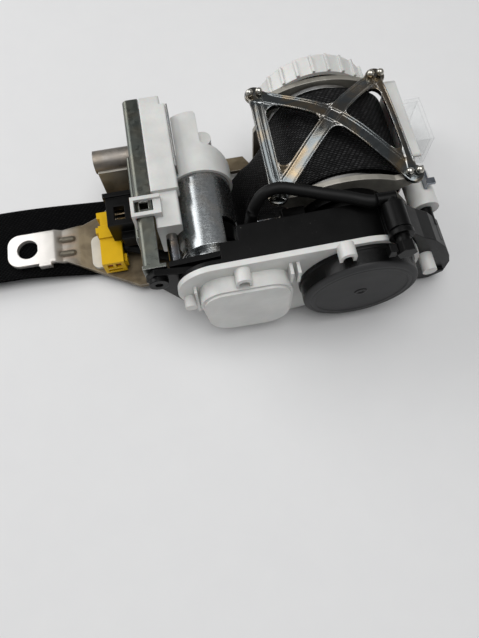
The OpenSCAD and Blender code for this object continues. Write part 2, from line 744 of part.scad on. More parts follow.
module motor_cap() {
    r = can_r + 1.6;
    near = can_y1 - 3;
    far = can_y1 + 31;
    bar_x1 = 3.4;
    bend_y = can_y1 + 2.5;
    color(white) placed() difference() {
        union() {
            // round hood, trimmed in plan to a bar with a sweeping shoulder
            intersection() {
                ycyl(r, near, far, motor_c);
                translate([motor_c[0], 0, motor_c[1] - r - 1]) linear_extrude(2 * r + 2) polygon(concat(
                    [[-r - 1, near - 1], [r + 1, near - 1]],
                    [for (t = [0 : 10 : 90]) [bar_x1 + 1 + (r - bar_x1) * cos(t), bend_y + 9.5 * sin(t)]],
                    [[bar_x1, bend_y + 11], [bar_x1, far - 1.6], [bar_x1 - 1.6, far + 1], [-8.6, far + 1],
                        [-8.6, can_y1 + 9], [-r - 1, can_y1 + 4]]));
            }
            // lobe beside the bar
            translate([motor_c[0] + 4.9, can_y1 + 18, motor_c[1] - 10]) cylinder(r = 4.1, h = 20.6);
        }
        ycyl(can_r + seat_gap, -8, can_y1 + seat_gap, motor_c);
        ycyl(6, can_y1 - 1, can_y1 + 3, motor_c);
    }
}

// Control unit: moulded case with its near block and clip, board and parts inside, steel heat plate

module unit_case() {
    color(white) placed() difference() {
        union() {
            yext(unit_y0, unit_y1 - 5) rrect(unit_x0, unit_x1, unit_bottom, unit_top, 1);
            yext(unit_y1 - 6, unit_y1) rrect(unit_x0, unit_x1 - 2.5, unit_bottom, unit_top, 1);
            yext(unit_y0 - 17.5, unit_y0 + 1) rrect(unit_x0 + 0.5, unit_x1 - 1, unit_bottom + 8, unit_top - 2, 1);
            // two prongs of the clip over the heat plate and its outer strap
            for (y = [unit_y0 - 4.5, unit_y0 - 12.5]) block([heat_x0 - 1.6, y, unit_top + seat_gap],
                [unit_x0 + 4, y + 1.8, unit_top + 1.8]);
            block([unit_x0 + 0.5, unit_y0 - 12.5, unit_top - 3], [unit_x0 + 4, unit_y0 - 2.7, unit_top + 0.5]);
            block([heat_x0 - 1.6, unit_y0 - 12.5, unit_top - 9], [heat_x0 - seat_gap, unit_y0 - 2.7, unit_top + 1.8]);
        }
        ycyl(can_r + 2.5, unit_y0 - 30, unit_y1 + 10, motor_c);
    }
}

module heat_plate() {
    foot_y0 = 6;
    color(dark_steel) placed() difference() {
        union() {
            // top flange and outer wall with a round bend
            yext(heat_y0, heat_y1) {
                difference() {
                    rrect(heat_x0, unit_x0 + 4, plate_z + sheet_t + 7, unit_top, 2.4);
                    rrect(heat_x0 + plate_t, unit_x0 + 5, plate_z + sheet_t - 1, unit_top - plate_t, 1.2);
                    translate([unit_x0 - seat_gap, plate_z]) square([9, 60]);
                    translate([heat_x0 + plate_t, plate_z]) square([9, 40]);
                }
            }
            // foot on the base plate
            block([heat_x0, foot_y0, plate_z + sheet_t], [heat_x0 + plate_t, heat_y1 - 8, plate_z + sheet_t + 12]);
            // pressed step in the outer wall
            yext(-27, tube_y - tube_r - plate_t - 2 * seat_gap) rrect(heat_x0 - 2.6, heat_x0 + 0.4, -16, 6.5, 1.2);
            // near end, turned in against the gear case's lug
            block([heat_x0, heat_y0 - plate_t, 4], [-80.5, heat_y0 + 0.4, unit_top]);
        }
        // near stretch of the wall is cut short over the lead
        block([heat_x0 - 1, heat_y0 - 2, -40], [heat_x0 + 3, -28, 2]);
        // clip window
        block([heat_x0 + 2, unit_y0 - 8.5, unit_top - 4], [unit_x0 - 1.6, unit_y0 - 4.7, unit_top + 1]);
        ycyl(1.7, heat_y0 - 3, heat_y0 + 3, [-85, 11.5]);
    }
}

module lug_screw() {
    color(dark_steel) placed() {
        ycyl(1.7, case_front + 3, heat_y0 + 3, [-85, 11.5]);
        ycyl(3, heat_y0 + 0.4, heat_y0 + 2.4, [-85, 11.5]);
    }
}

// Upright steel sheet between the control unit and the motor
module shield_sheet() {
    color(zinc) placed() block([unit_x1 + seat_gap, unit_y0 + 11, 10.6],
        [unit_x1 + seat_gap + 0.8, unit_y1 - 6, unit_top + 0.6]);
}

// Bright rod between the gear case and the control unit
module spacer_rod() {
    color(zinc) placed() ycyl(2.6, left_back + 1.5, unit_y0 - 17.5, [unit_x0 + 5.8, 6]);
}

module circuit_board() {
    color([0.1, 0.35, 0.2]) placed()
        block([unit_x0 - seat_gap - 1.6, unit_y0 + 2, unit_bottom + 2], [unit_x0 - seat_gap, unit_y1 - 4, unit_top - plate_t - 1]);
}

module board_parts() {
    x = unit_x0 - seat_gap - 1.6;
    color([0.15, 0.15, 0.16]) placed() {
        for (y = [-4, 8, 20]) block([x - 2.2, y, -8], [x, y + 8, 2]);
        for (y = [-2, 12]) translate([x - 3.2, y, 8]) rotate([0, 90, 0]) cylinder(r = 3, h = 3.2);
    }
}

// Connector socket on the control unit's outer side
module unit_connector() {
    bottom = -13.2;
    color(black) placed() difference() {
        union() {
            block([socket_x0 + 1, socket_y0, bottom], [heat_x0 - 2.6, socket_y1, socket_top]);
            block([socket_x0, socket_y0 + 15, socket_top - 3], [heat_x0 - 2.6, socket_y1 + 1, socket_top + 1]);
            block([socket_x0 + 6, socket_y0 - 4, bottom], [heat_x0 - 2.6, socket_y0 + 6, -6]);
        }
        // socket mouth towards the tab
        block([socket_x0 - 1, socket_y0 + 1.6, bottom + 1.6], [heat_x0 - 7, socket_y1 - 1.6, -2.5]);
        // square latch window in the top
        block([socket_x0 + 4.5, socket_y0 + 3, -4], [socket_x0 + 9.5, socket_y0 + 10, 4]);
    }
}

module connector_pins() {
    color([0.78, 0.6, 0.25]) placed() for (y = [-11.5, -8.5, -5.5, -2.5], z = [-10, -6])
        block([socket_x0 + 4, y, z], [heat_x0 - 7, y + 0.7, z + 0.7]);
}

module steel_tube() {
    color([0.5, 0.46, 0.42]) placed() translate([tube_x0, tube_y, tube_z]) rotate([0, 90, 0]) difference() {
        cylinder(r = tube_r, h = heat_x0 - tube_x0);
        translate([0, 0, -1]) cylinder(r = tube_r - 1.2, h = heat_x0 - tube_x0 + 2);
    }
}

module tube_bracket() {
    y1 = tube_y - tube_r;
    color(brown_zinc) placed() xext(tube_x0 + 1, heat_x0)
        translate([y1 - plate_t, plate_z + sheet_t]) square([plate_t, tube_z - plate_z - sheet_t]);
}

// Squib plug: stepped body with a hooked latch, lying on its pad
module squib_connector() {
    z0 = plate_z + sheet_t + pad_t;
    color([0.98, 0.82, 0.02]) placed() difference() {
        union() {
            block([-113.5, -26, z0], [-103, -12, z0 + 9.5]);
            block([-113.5, -12, z0], [-106, -5, z0 + 10.5]);
            block([-114.8, -9, z0 + 1.5], [-113.5, -6, z0 + 10.5]);
            block([-113, -5, z0], [-108, 2, z0 + 7.5]);
            block([-114.5, 1, z0 + 1], [-107.8, 4.5, z0 + 7.5]);
            block([-105, -24, z0 + 1], [-101.8, -20, z0 + 6]);
        }
        for (x = [-111.4, -107.4]) block([x, -27, z0 + 4.4], [x + 2.6, -18, z0 + 8]);
        block([-112, -27, z0 + 1.2], [-105, -20, z0 + 3]);
    }
}

module squib_sleeves() {
    z0 = plate_z + sheet_t + pad_t;
    color([0.5, 0.16, 0.08]) placed() for (x = [-111.1, -107.1])
        block([x, -25, z0 + 4.7], [x + 2, -18, z0 + 7.7]);
}

module connector_pad() {
    color([0.88, 0.85, 0.78]) placed() translate([0, 0, plate_z + sheet_t]) linear_extrude(pad_t)
        rrect(pad_x0, pad_x1, pad_y0, pad_y1, 3.5);
}

// Lead of the gas generator: a round tube swept along its route

function lead_tangent(i) = let (n = len(lead_route) - 1, d = lead_route[min(i + 1, n)] - lead_route[max(i - 1, 0)])
    d / norm(d);
function lead_ring(i, k) = let (t = lead_tangent(i), u = cross(t, [0.31, 0.22, 0.93]), a = u / norm(u), b = cross(t, a))
    lead_route[i] + lead_r * (cos(k * 36) * a + sin(k * 36) * b);

module generator_lead() {
    n = len(lead_route);
    m = 10;
    pts = [for (i = [0 : n - 1], k = [0 : m - 1]) lead_ring(i, k)];
    sides = [for (i = [0 : n - 2], k = [0 : m - 1]) each let (a = i * m + k, b = i * m + (k + 1) % m) [
        [a, b + m, b], [a, a + m, b + m]]];
    caps = [[for (k = [0 : m - 1]) k], [for (k = [m - 1 : -1 : 0]) (n - 1) * m + k]];
    color(black) placed() polyhedron(points = pts, faces = concat(sides, caps), convexity = 8);
}

module gas_generator() {
    color(black) placed() {
        ycyl(gen_r, gen_y0 + 3, gen_y1, gen_c);
        // elbow cap that turns the lead sideways
        ycyl(lead_r + 0.2, gen_y1 - 0.5, elbow_y, gen_c);
        translate([gen_c[0] - 5.6, elbow_y, gen_c[1]]) rotate([0, 90, 0]) cylinder(r = lead_r + 0.3, h = 7.6);
        ycyl(gen_r - 0.7, gen_y0 + 2, gen_y0 + 3, gen_c);
        ycyl(gen_r + 0.4, gen_y0, gen_y0 + 2, gen_c);
        ycyl(gen_r - 1.6, gen_y0 - 3, gen_y0, gen_c);
    }
}

module generator_clip() {
    color(black) placed() {
        translate([gen_c[0], gen_y0 - 3, gen_c[1]]) rotate([90, 0, 0]) cylinder(r = 4, h = 4.5, $fn = 6);
        block([gen_c[0] - 6.5, gen_y0 - 6.5, gen_c[1] - 3], [gen_c[0] - 3.6, gen_y0 - 3, gen_c[1] + 1.5]);
    }
}

// Pretensioner case to the right of the gear case, with its rounded nose and ribs
module pretensioner_case() {
    y1 = case_back;
    y0 = case_front + 1.5;
    nose_c = [34.5, -1];
    color(black) placed() difference() {
        union() {
            yext(y0, y1) polygon([[18, 20], [22, 20.5], [28, 15], [35, 10], [42.5, 1], [47, -8], [49.5, -15],
                [50, -26], [44, -31], [20, -30]]);
            translate([nose_c[0], 0, nose_c[1]]) {
                ycyl(7.6, y0 + 3, y1 - 3.5);
                translate([0, y1 - 3.5, 0]) sphere(r = 7.6);
            }
            ycyl(2.9, y1 - 4, sleeve_y1 - 0.4, sleeve_c);
            block([40, y0 - 1.5, -22], [48, y0, -20.5]);
        }
        ycyl(cover_r + seat_gap, y0 - 3, -wall_out - 1);
    }
}

module case_plug() {
    color(white) placed() ycyl(3.2, case_front - 7, case_front + 1.5, [33.4, -2.5]);
}

// Clip box that holds the lead on the gear case, with its steel staple
module lead_clip() {
    color(black) placed() block([-39, case_back, 4], [-32.2, case_back + 8, 17]);
}

module clip_staple() {
    color(zinc) placed() {
        block([-39.8, case_back + 2, 6], [-39, case_back + 5, 18]);
        block([-39.8, case_back + 2, 17], [-31.4, case_back + 5, 18]);
        block([-32.2, case_back + 2, 8.2], [-31.4, case_back + 5, 18]);
    }
}

// Locking side: ribbed sensor cover over the far wall, sensor pod with ball and lever

module sensor_cover() {
    r = sensor_r;
    color(white) placed() difference() {
        union() {
            translate([0, wall_out, 0]) rotate([-90, 0, 0]) rotate_extrude($fn = 96) difference() {
                union() {
                    square([r, sensor_depth - 2]);
                    square([r - 2, sensor_depth]);
                    translate([r - 2, sensor_depth - 2]) circle(r = 2);
                }
                translate([0, -1]) square([r - 1.8, sensor_depth + 1 - 1.8]);
            }
            for (a = [10 : 14 : 170]) rotate([0, -a, 0]) block([r - 0.5, wall_out, -0.6], [r + 1.2, sensor_end - 2, 0.6]);
            difference() {
                ycyl(far_journal_r + 4, far_end - 3.3, sensor_end - 1);
                ycyl(far_journal_r + 2, far_end - 7, far_end);
            }
        }
        // way for the sensor lever
        block([14, pod_y0 - 0.4, -24], [40, pod_y1 - 4, -8]);
        ycyl(far_journal_r + 2, far_end - 7, far_end);
    }
}

module sensor_pod() {
    color(white) placed() difference() {
        union() {
            block([27, pod_y0, floor_z], [48, pod_y1, -13.4]);
        }
        block([20, pod_y0 + 1.4, -22.5], [46.6, pod_y1 - 1.4, -10]);
        block([29, pod_y0 + 1.4, -24.3], [46.6, pod_y1 - 1.4, -20]);
        translate([ball_c[0], ball_c[1], cup_z]) cylinder(r1 = 0.6, r2 = 4.6, h = 4.2);
        ycyl(sensor_r + seat_gap, 20, 60);
    }
    color(white) placed() ycyl(1, pod_y0 + 1.4, pod_y1 - 1.4, lever_c);
}

module pod_window() {
    color([0.9, 0.92, 0.92, 0.5]) placed() difference() {
        block([48, 14, floor_z], [63, pod_y1, -13.4]);
        block([49.2, 15.2, floor_z - 1], [61.8, pod_y1 - 1.2, -14.6]);
    }
}

module sensor_ball() {
    color([0.8, 0.8, 0.82]) placed() translate(ball_c) sphere(r = ball_r);
}

module sensor_lever() {
    y0 = pod_y0 + 2;
    y1 = pod_y1 - 2;
    color([0.85, 0.85, 0.8]) placed() difference() {
        union() {
            yext(y0, y1) bar(lever_c, [33, -17.8], 1.6);
            ycyl(1.9, y0, y1, lever_c);
            yext(ratchet_y0 + 0.2, ratchet_y0 + ratchet_t + 1.2) {
                bar([34, -17.7], [17.6, -20.4], 1.6);
                polygon([[19, -19.9], [15, -18], [16.6, -20.4], [18, -20.8]]);
            }
        }
        ycyl(1 + run_gap, y0 - 1, y1 + 1, lever_c);
    }
}

module side_shield() {
    shield_x = wall_foot + 0.2;
    shield_top = corner_z - 1.4;
    color(white) placed() difference() {
        yext(-17, wall_in - 0.6) {
            rrect(shield_x - 1.8, shield_x, plate_z + sheet_t, shield_top, 0.8);
            rrect(shield_x - 4.6, shield_x, shield_top - 2, shield_top, 0.9);
        }
        block([29, wall_in - bend_r, plate_z], [36, wall_in + 1, plate_z + sheet_t + bend_r]);
    }
}

module guide_sleeve() {
    color(white) placed() difference() {
        ycyl(sleeve_r, sleeve_y1 - 17.6, sleeve_y1, sleeve_c);
        ycyl(2.9 + seat_gap, sleeve_y1 - 19, sleeve_y1 + 5, sleeve_c);
        block([hook_x0 - seat_gap, hook_y0 - seat_gap, hook_z - seat_gap],
            [hook_x0 + hook_t + seat_gap, hook_y0 + 10 + seat_gap, hook_z + 5]);
    }
}

module steel_hook() {
    z1 = sleeve_c[1] + sleeve_r + 4;
    color(zinc) placed() {
        block([hook_x0, hook_y0, hook_z], [hook_x0 + hook_t, hook_y0 + 10, z1]);
        block([hook_x0, hook_y0, z1 - hook_t], [hook_x0 + 4, hook_y0 + 3, z1]);
    }
}

// Spool body

module spool() {
    color([0.75, 0.75, 0.73]) placed() rotate([90, 0, 0]) difference() {
        rotate_extrude() polygon([[0, -spool_half], [flange_r, -spool_half], [flange_r, -spool_half + flange_t],
            [barrel_r, -spool_half + flange_t], [barrel_r, spool_half - flange_t], [flange_r, spool_half - flange_t],
            [flange_r, spool_half], [journal_r, spool_half], [journal_r, -journal_end], [shaft_r, -journal_end],
            [shaft_r, -shaft_end], [0, -shaft_end]]);
        translate([0, 0, -spool_half - 1]) cylinder(r = torsion_r + 1.5, h = 2 * spool_half - 2);
    }
}

module torsion_bar() {
    y0 = -spool_half + 3.1;
    color(dark_steel) placed() {
        ycyl(torsion_r, y0, lock_base_y0 + 2);
        ycyl(torsion_r + 1.5, y0, y0 + 7);
        ycyl(torsion_r + 1.5, lock_base_y0 - 4, lock_base_y0 + 3);
    }
}

module webbing_roll() {
    color([0.06, 0.06, 0.06]) placed() difference() {
        ycyl(roll_r, -web_w / 2, web_w / 2);
        ycyl(barrel_r, -web_w, web_w);
    }
}

// Point turned out about the lock pawl's pin
function turned(p, a) = [p[0] * cos(a) - p[1] * sin(a), p[0] * sin(a) + p[1] * cos(a)];

// Arm of the lock pawl, with the room that it sweeps while it turns out by an angle
module pawl_arm(y0, y1, grow, sweep) {
    tip = [pawl_reach + grow, -0.6 + grow];
    fan = sweep > 0 ? [for (k = [1 : 4]) turned(tip, sweep * k / 4)] : [];
    translate([lock_pin_c[0], 0, lock_pin_c[1]]) yext(y0, y1) polygon(concat([[2.4, -2.6 - grow],
        [pawl_reach + grow, -2.6 - grow], tip], fan, [turned([2.4, 2 + grow], sweep)]));
}

module lock_base() {
    color([0.55, 0.55, 0.55]) placed() difference() {
        union() {
            ycyl(lock_base_r, lock_base_y0, lock_base_y1);
            ycyl(far_journal_r, lock_base_y1, far_end - 0.4);
        }
        ycyl(torsion_r + 1.5, lock_base_y0 - 1, lock_base_y0 + 3);
        difference() {
            union() {
                ycyl(3.6 + free_gap, lock_base_y0 + 1.2, lock_base_y1 + 1, lock_pin_c);
                pawl_arm(lock_base_y0 + 1.2, lock_base_y1 + 1, free_gap, 16);
            }
            ycyl(lock_pin_r, lock_base_y0, lock_base_y1 + 2, lock_pin_c);
        }
    }
}

module lock_pawl() {
    color(dark_steel) placed() difference() {
        union() {
            ycyl(3.6, lock_base_y0 + 1.5, lock_base_y1 - 0.2, lock_pin_c);
            pawl_arm(lock_base_y0 + 1.5, lock_base_y1 - 0.2, 0, 0);
        }
        ycyl(lock_pin_r + run_gap, lock_base_y0, lock_base_y1 + 1, lock_pin_c);
    }
}

module ratchet_disc() {
    color(white) placed() difference() {
        union() {
            yext(ratchet_y0, ratchet_y0 + ratchet_t) saw2d(ratchet_teeth, ratchet_r - 2, ratchet_r, -24, 0.2);
            ycyl(far_journal_r + 1.8, ratchet_y0, far_end - 3.8);
        }
        ycyl(far_journal_r, ratchet_y0 - 1, far_end);
    }
}

module clutch_hub() {
    color(dark_steel) placed() difference() {
        yext(layer1_y0, web_y0 - free_gap) saw2d(clutch_notches, hub_r - 1.3, hub_r, 53, 0.22);
        ycyl(shaft_r, layer1_y0 - 1, layer1_y1 + 1);
    }
}

module spring_arbor() {
    color(black) placed() difference() {
        ycyl(shaft_r + 3, spring_front + 2.6, cover_front - 1);
        ycyl(shaft_r, spring_front, cover_front);
    }
}

module ring_gear() {
    color([0.85, 0.84, 0.78]) placed() difference() {
        yext(layer1_y0, layer1_y1) gear2d(ring_teeth, ring_angle);
        ycyl(shaft_r + run_gap, layer1_y0 - 1, layer1_y1 + 1);
        difference() {
            ycyl(recess_r, layer1_y0 - 1, web_y0);
            ycyl(clutch_pin_r, layer1_y0 - 1, layer1_y1, clutch_pin_c);
        }
        for (a = [30 : 60 : 330]) rotate([0, a, 0]) ycyl(2.2, layer1_y0 - 1, layer1_y1 + 1, [recess_r - 3.2, 0]);
    }
}

// Clutch pawl on the ring gear's web: a short tooth that drops into the hub's notches
module clutch_pawl() {
    color(dark_steel) placed() difference() {
        union() {
            ycyl(2, layer1_y0 + 0.4, web_y0 - 0.3, clutch_pin_c);
            yext(layer1_y0 + 0.4, web_y0 - 0.3) polygon([clutch_pin_c + [0, 1.5], clutch_pin_c + [5.4, -0.2],
                clutch_pin_c + [6, -2.4], clutch_pin_c + [5, -2], clutch_pin_c + [0, -1.2]]);
        }
        ycyl(clutch_pin_r + run_gap, layer1_y0 - 1, layer1_y1 + 1, clutch_pin_c);
    }
}

module idler_gear() {
    color([0.85, 0.84, 0.78]) placed() difference() {
        union() {
            yext(layer1_y0, layer1_y1) translate(idler_c) gear2d(small_teeth, ring_angle + 180 + 180 / small_teeth);
            yext(layer2_y0, layer2_y1) translate(idler_c) gear2d(large_teeth, motor_angle);
            ycyl(gear_m * small_teeth / 2 - 1.25 * gear_m, layer2_y1 - 1, layer1_y0 + 1, idler_c);
        }
        ycyl(idler_pin_r + run_gap, layer2_y0 - 1, layer1_y1 + 1, idler_c);
    }
}

module motor_shaft() {
    color(dark_steel) placed() {
        ycyl(rotor_r, layer2_y0, can_y1 - 1, motor_c);
        yext(layer2_y0, layer2_y1) translate(motor_c) gear2d(motor_teeth, motor_angle + 180 + 180 / motor_teeth);
    }
}

module armature() {
    color([0.65, 0.35, 0.18]) placed() difference() {
        union() {
            ycyl(8.6, can_y0 + 17.5, can_y1 - 4.5, motor_c);
            ycyl(4, can_y0 + 5, can_y0 + 17.5, motor_c);
        }
        for (a = [0 : 60 : 300]) translate([motor_c[0], 0, motor_c[1]]) rotate([0, a, 0])
            block([4.5, can_y0 + 17, -0.8], [10, can_y1, 0.8]);
        ycyl(rotor_r, can_y0, can_y1, motor_c);
    }
}

frame();
x_brace();
brace_rivets();
near_bush();
far_bush();
webbing_strap();
gear_housing();
gear_cover();
idler_axle();
spring_cover();
return_spring();
motor_can();
motor_end_bell();
motor_bushes();
motor_magnets();
brush_holder();
motor_cap();
unit_case();
heat_plate();
shield_sheet();
spacer_rod();
circuit_board();
board_parts();
unit_connector();
connector_pins();
steel_tube();
tube_bracket();
squib_connector();
squib_sleeves();
connector_pad();
generator_lead();
gas_generator();
generator_clip();
pretensioner_case();
case_plug();
lead_clip();
clip_staple();
sensor_cover();
sensor_pod();
pod_window();
side_shield();
guide_sleeve();
steel_hook();
lug_screw();
spool();
torsion_bar();
webbing_roll();
lock_base();
ratchet_disc();
clutch_hub();
spring_arbor();
lock_pawl();
ring_gear();
clutch_pawl();
idler_gear();
motor_shaft();
armature();
sensor_ball();
sensor_lever();
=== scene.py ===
"""Looks of the seat belt retractor: webbing, lead, stamped brace, small trim, finishes, light and camera."""
import json

import bpy
import numpy as np
from mathutils import Matrix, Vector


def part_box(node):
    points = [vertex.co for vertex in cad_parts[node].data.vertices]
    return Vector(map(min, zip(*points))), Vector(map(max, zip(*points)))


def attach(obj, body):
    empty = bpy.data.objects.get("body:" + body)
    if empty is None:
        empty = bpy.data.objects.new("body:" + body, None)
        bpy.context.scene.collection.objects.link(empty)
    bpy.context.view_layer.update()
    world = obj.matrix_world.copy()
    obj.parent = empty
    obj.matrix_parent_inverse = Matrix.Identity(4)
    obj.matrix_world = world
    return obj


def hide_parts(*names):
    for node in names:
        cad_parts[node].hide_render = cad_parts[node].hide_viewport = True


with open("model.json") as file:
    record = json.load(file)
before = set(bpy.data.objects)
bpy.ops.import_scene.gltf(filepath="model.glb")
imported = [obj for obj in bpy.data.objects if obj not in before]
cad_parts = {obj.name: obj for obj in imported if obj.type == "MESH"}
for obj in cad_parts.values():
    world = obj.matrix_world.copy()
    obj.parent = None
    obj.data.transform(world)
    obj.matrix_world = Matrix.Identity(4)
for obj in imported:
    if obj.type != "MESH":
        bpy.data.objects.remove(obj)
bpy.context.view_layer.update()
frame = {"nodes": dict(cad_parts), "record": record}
nodes = frame["nodes"]

MM = 1000  # millimetres in a metre

# The spool's middle in the row frame, in millimetres. Shapes are drawn from there; the floor lies below it.
SPOOL = np.array([152.0, 5.5, 24.65])
FLOOR = -33.4
# Webbing: width, thickness, radius of the roll and of the barrel inside it
WEB_W, WEB_T, ROLL_R, BARREL_R = 45.0, 1.2, 23.0, 9.0
# Lead: radius, depth of its ripples as a share of the radius, and their pitch
LEAD_R, RIPPLE_DEPTH, RIPPLE_PITCH = 2.6, 0.03, 2.4
# Brace: sheet, rise of its crown, outer faces of the walls it stands on, corners, widths, radius of its feet
BRACE_T, BRACE_CROWN, WALL_OUT = 1.6, 9.0, 28.5
CORNER_X, CORNER_FAR_X, CORNER_Z = 29.5, 27.0, 21.0
ARM_W, RAIL_LEFT_W, RAIL_RIGHT_W, FOOT_R = 6.5, 5.5, 3.8, 4.4
# Tab: tops of the plate and of the tab, their sheet, the tab's far and near edge
PLATE_TOP, TAB_TOP, SHEET = -25.9, -23.4, 2.5
TAB_FAR_Y, TAB_NEAR_Y = 3.5, -14.5

# Camera: pitch, yaw and roll in degrees, place in metres, lens and sensor in millimetres
CAMERA_TURN, CAMERA_PLACE = (69.58, 6.67, -3.67), (0.0885, -0.1448, 0.24005)
LENS, SENSOR = 30.17, 36
# Lamps: place, target, side in metres, watts
KEY_LAMP = ((-0.9, 0.72, 0.75), (0.1, 0.0, 0.0), 1.0, 9.0)
TOP_LAMP = ((0.15, -0.1, 1.5), (0.1, -0.05, 0.0), 1.1, 13.5)
WORLD_COLOUR, WORLD_STRENGTH = (0.97, 0.98, 1.0, 1.0), 0.22


def at(points):
    """Row-frame metres of points given in millimetres from the spool's middle."""
    return (np.asarray(points, float) + SPOOL) / MM


def unit(vectors):
    """Vectors taken to length 1."""
    return vectors / np.linalg.norm(vectors, axis=-1, keepdims=True)


# Camera and light

def aim_camera(turn, place, lens):
    """Camera whose axes are a yaw about Z, then a pitch about X, then a roll about its line of sight."""
    p, y, r = np.radians(turn)
    yaw = np.array([[np.cos(y), -np.sin(y), 0], [np.sin(y), np.cos(y), 0], [0, 0, 1]])
    pitch = np.array([[1, 0, 0], [0, -np.sin(p), -np.cos(p)], [0, np.cos(p), -np.sin(p)]])
    roll = np.array([[np.cos(r), -np.sin(r), 0], [np.sin(r), np.cos(r), 0], [0, 0, 1]])
    axes = roll @ pitch @ yaw
    data = bpy.data.cameras.new("camera")
    data.lens, data.sensor_width = lens, SENSOR
    data.clip_start, data.clip_end = 0.01, 20
    camera = bpy.data.objects.new("camera", data)
    bpy.context.scene.collection.objects.link(camera)
    matrix = np.eye(4)
    matrix[:3, 0], matrix[:3, 1], matrix[:3, 2] = axes[0], -axes[1], -axes[2]
    matrix[:3, 3] = place
    camera.matrix_world = Matrix(matrix.tolist())
    bpy.context.scene.camera = camera


def area_light(name, place, target, size, watts):
    """Square lamp at a place, facing a target."""
    data = bpy.data.lights.new(name, "AREA")
    data.size, data.energy = size, watts
    lamp = bpy.data.objects.new(name, data)
    bpy.context.scene.collection.objects.link(lamp)
    back = unit(np.subtract(place, target))
    aside = [0.3, 1.0, 0.2]
    side = unit(np.cross(aside, back))
    matrix = np.eye(4)
    matrix[:3, 0], matrix[:3, 1], matrix[:3, 2], matrix[:3, 3] = side, np.cross(back, side), back, place
    lamp.matrix_world = Matrix(matrix.tolist())


# Node helpers

def put(tree, kind, **values):
    """Adds a node; values name its properties, or its input sockets with _ for a blank."""
    node = tree.nodes.new("ShaderNode" + kind)
    for key, value in values.items():
        if hasattr(node, key):
            setattr(node, key, value)
        else:
            node.inputs[key.replace("_", " ")].default_value = value
    return node


def join(tree, source, target):
    """Links one socket to another."""
    tree.links.new(source, target)


def start_group(name, inputs, outputs):
    """Empty node group with named sockets; inputs hold (name, type, default)."""
    group = bpy.data.node_groups.new(name, "ShaderNodeTree")
    for label, kind, default in inputs:
        socket = group.interface.new_socket(label, in_out="INPUT", socket_type=kind)
        if default is not None:
            socket.default_value = default
    for label, kind in outputs:
        group.interface.new_socket(label, in_out="OUTPUT", socket_type=kind)
    return group, group.nodes.new("NodeGroupInput"), group.nodes.new("NodeGroupOutput")


def math_node(tree, operation, first, second=None, clamp=False):
    """Math node; each operand is a socket or a number."""
    node = put(tree, "Math", operation=operation, use_clamp=clamp)
    for k, operand in enumerate((first, second)):
        if operand is None:
            continue
        if isinstance(operand, (int, float)):
            node.inputs[k].default_value = operand
        else:
            join(tree, operand, node.inputs[k])
    return node.outputs[0]


def object_axes(tree):
    """X, Y and Z of the object coordinates, in metres."""
    node = put(tree, "SeparateXYZ")
    join(tree, put(tree, "TexCoord").outputs["Object"], node.inputs[0])
    return node.outputs


def away(tree, value, middle):
    """Distance of a value from a middle."""
    return math_node(tree, "ABSOLUTE", math_node(tree, "SUBTRACT", value, middle))


FLOAT, VECTOR = "NodeSocketFloat", "NodeSocketVector"


def make_soft_edge():
    """Rounds hard edges in the shading; Edge goes from 0 to 1 as the dot of rounded and true normal falls."""
    g, i, o = start_group("soft_edge", [("Radius", FLOAT, 0.0004)], [("Normal", VECTOR), ("Edge", FLOAT)])
    bevel = put(g, "Bevel", samples=6)
    join(g, i.outputs["Radius"], bevel.inputs["Radius"])
    geometry = put(g, "NewGeometry")
    dot = put(g, "VectorMath", operation="DOT_PRODUCT")
    join(g, bevel.outputs[0], dot.inputs[0])
    join(g, geometry.outputs["Normal"], dot.inputs[1])
    edge = put(g, "MapRange", From_Min=0.995, From_Max=0.86, To_Min=0.0, To_Max=1.0)
    join(g, dot.outputs["Value"], edge.inputs["Value"])
    join(g, bevel.outputs[0], o.inputs["Normal"])
    join(g, edge.outputs[0], o.inputs["Edge"])
    return g


def make_grain():
    """Moulded or cast grain: fine noise for height, broad noise for mottling, sparse specks of dust."""
    g, i, o = start_group("grain", [("Scale", FLOAT, 2500.0)],
                          [("Height", FLOAT), ("Mottle", FLOAT), ("Dust", FLOAT)])
    coords = put(g, "TexCoord").outputs["Object"]
    fine = put(g, "TexNoise", Detail=3.0, Roughness=0.6)
    join(g, coords, fine.inputs["Vector"])
    join(g, i.outputs["Scale"], fine.inputs["Scale"])
    broad = put(g, "TexNoise", Scale=70.0, Detail=4.0, Roughness=0.55)
    join(g, coords, broad.inputs["Vector"])
    specks = put(g, "TexVoronoi", Scale=420.0, Randomness=1.0)
    join(g, coords, specks.inputs["Vector"])
    patch = put(g, "TexNoise", Scale=35.0, Detail=2.0)
    join(g, coords, patch.inputs["Vector"])
    near = put(g, "MapRange", From_Min=0.11, From_Max=0.03)
    join(g, specks.outputs["Distance"], near.inputs["Value"])
    where = put(g, "MapRange", From_Min=0.52, From_Max=0.7)
    join(g, patch.outputs[0], where.inputs["Value"])
    join(g, fine.outputs[0], o.inputs["Height"])
    join(g, broad.outputs[0], o.inputs["Mottle"])
    join(g, math_node(g, "MULTIPLY", near.outputs[0], where.outputs[0]), o.inputs["Dust"])
    return g


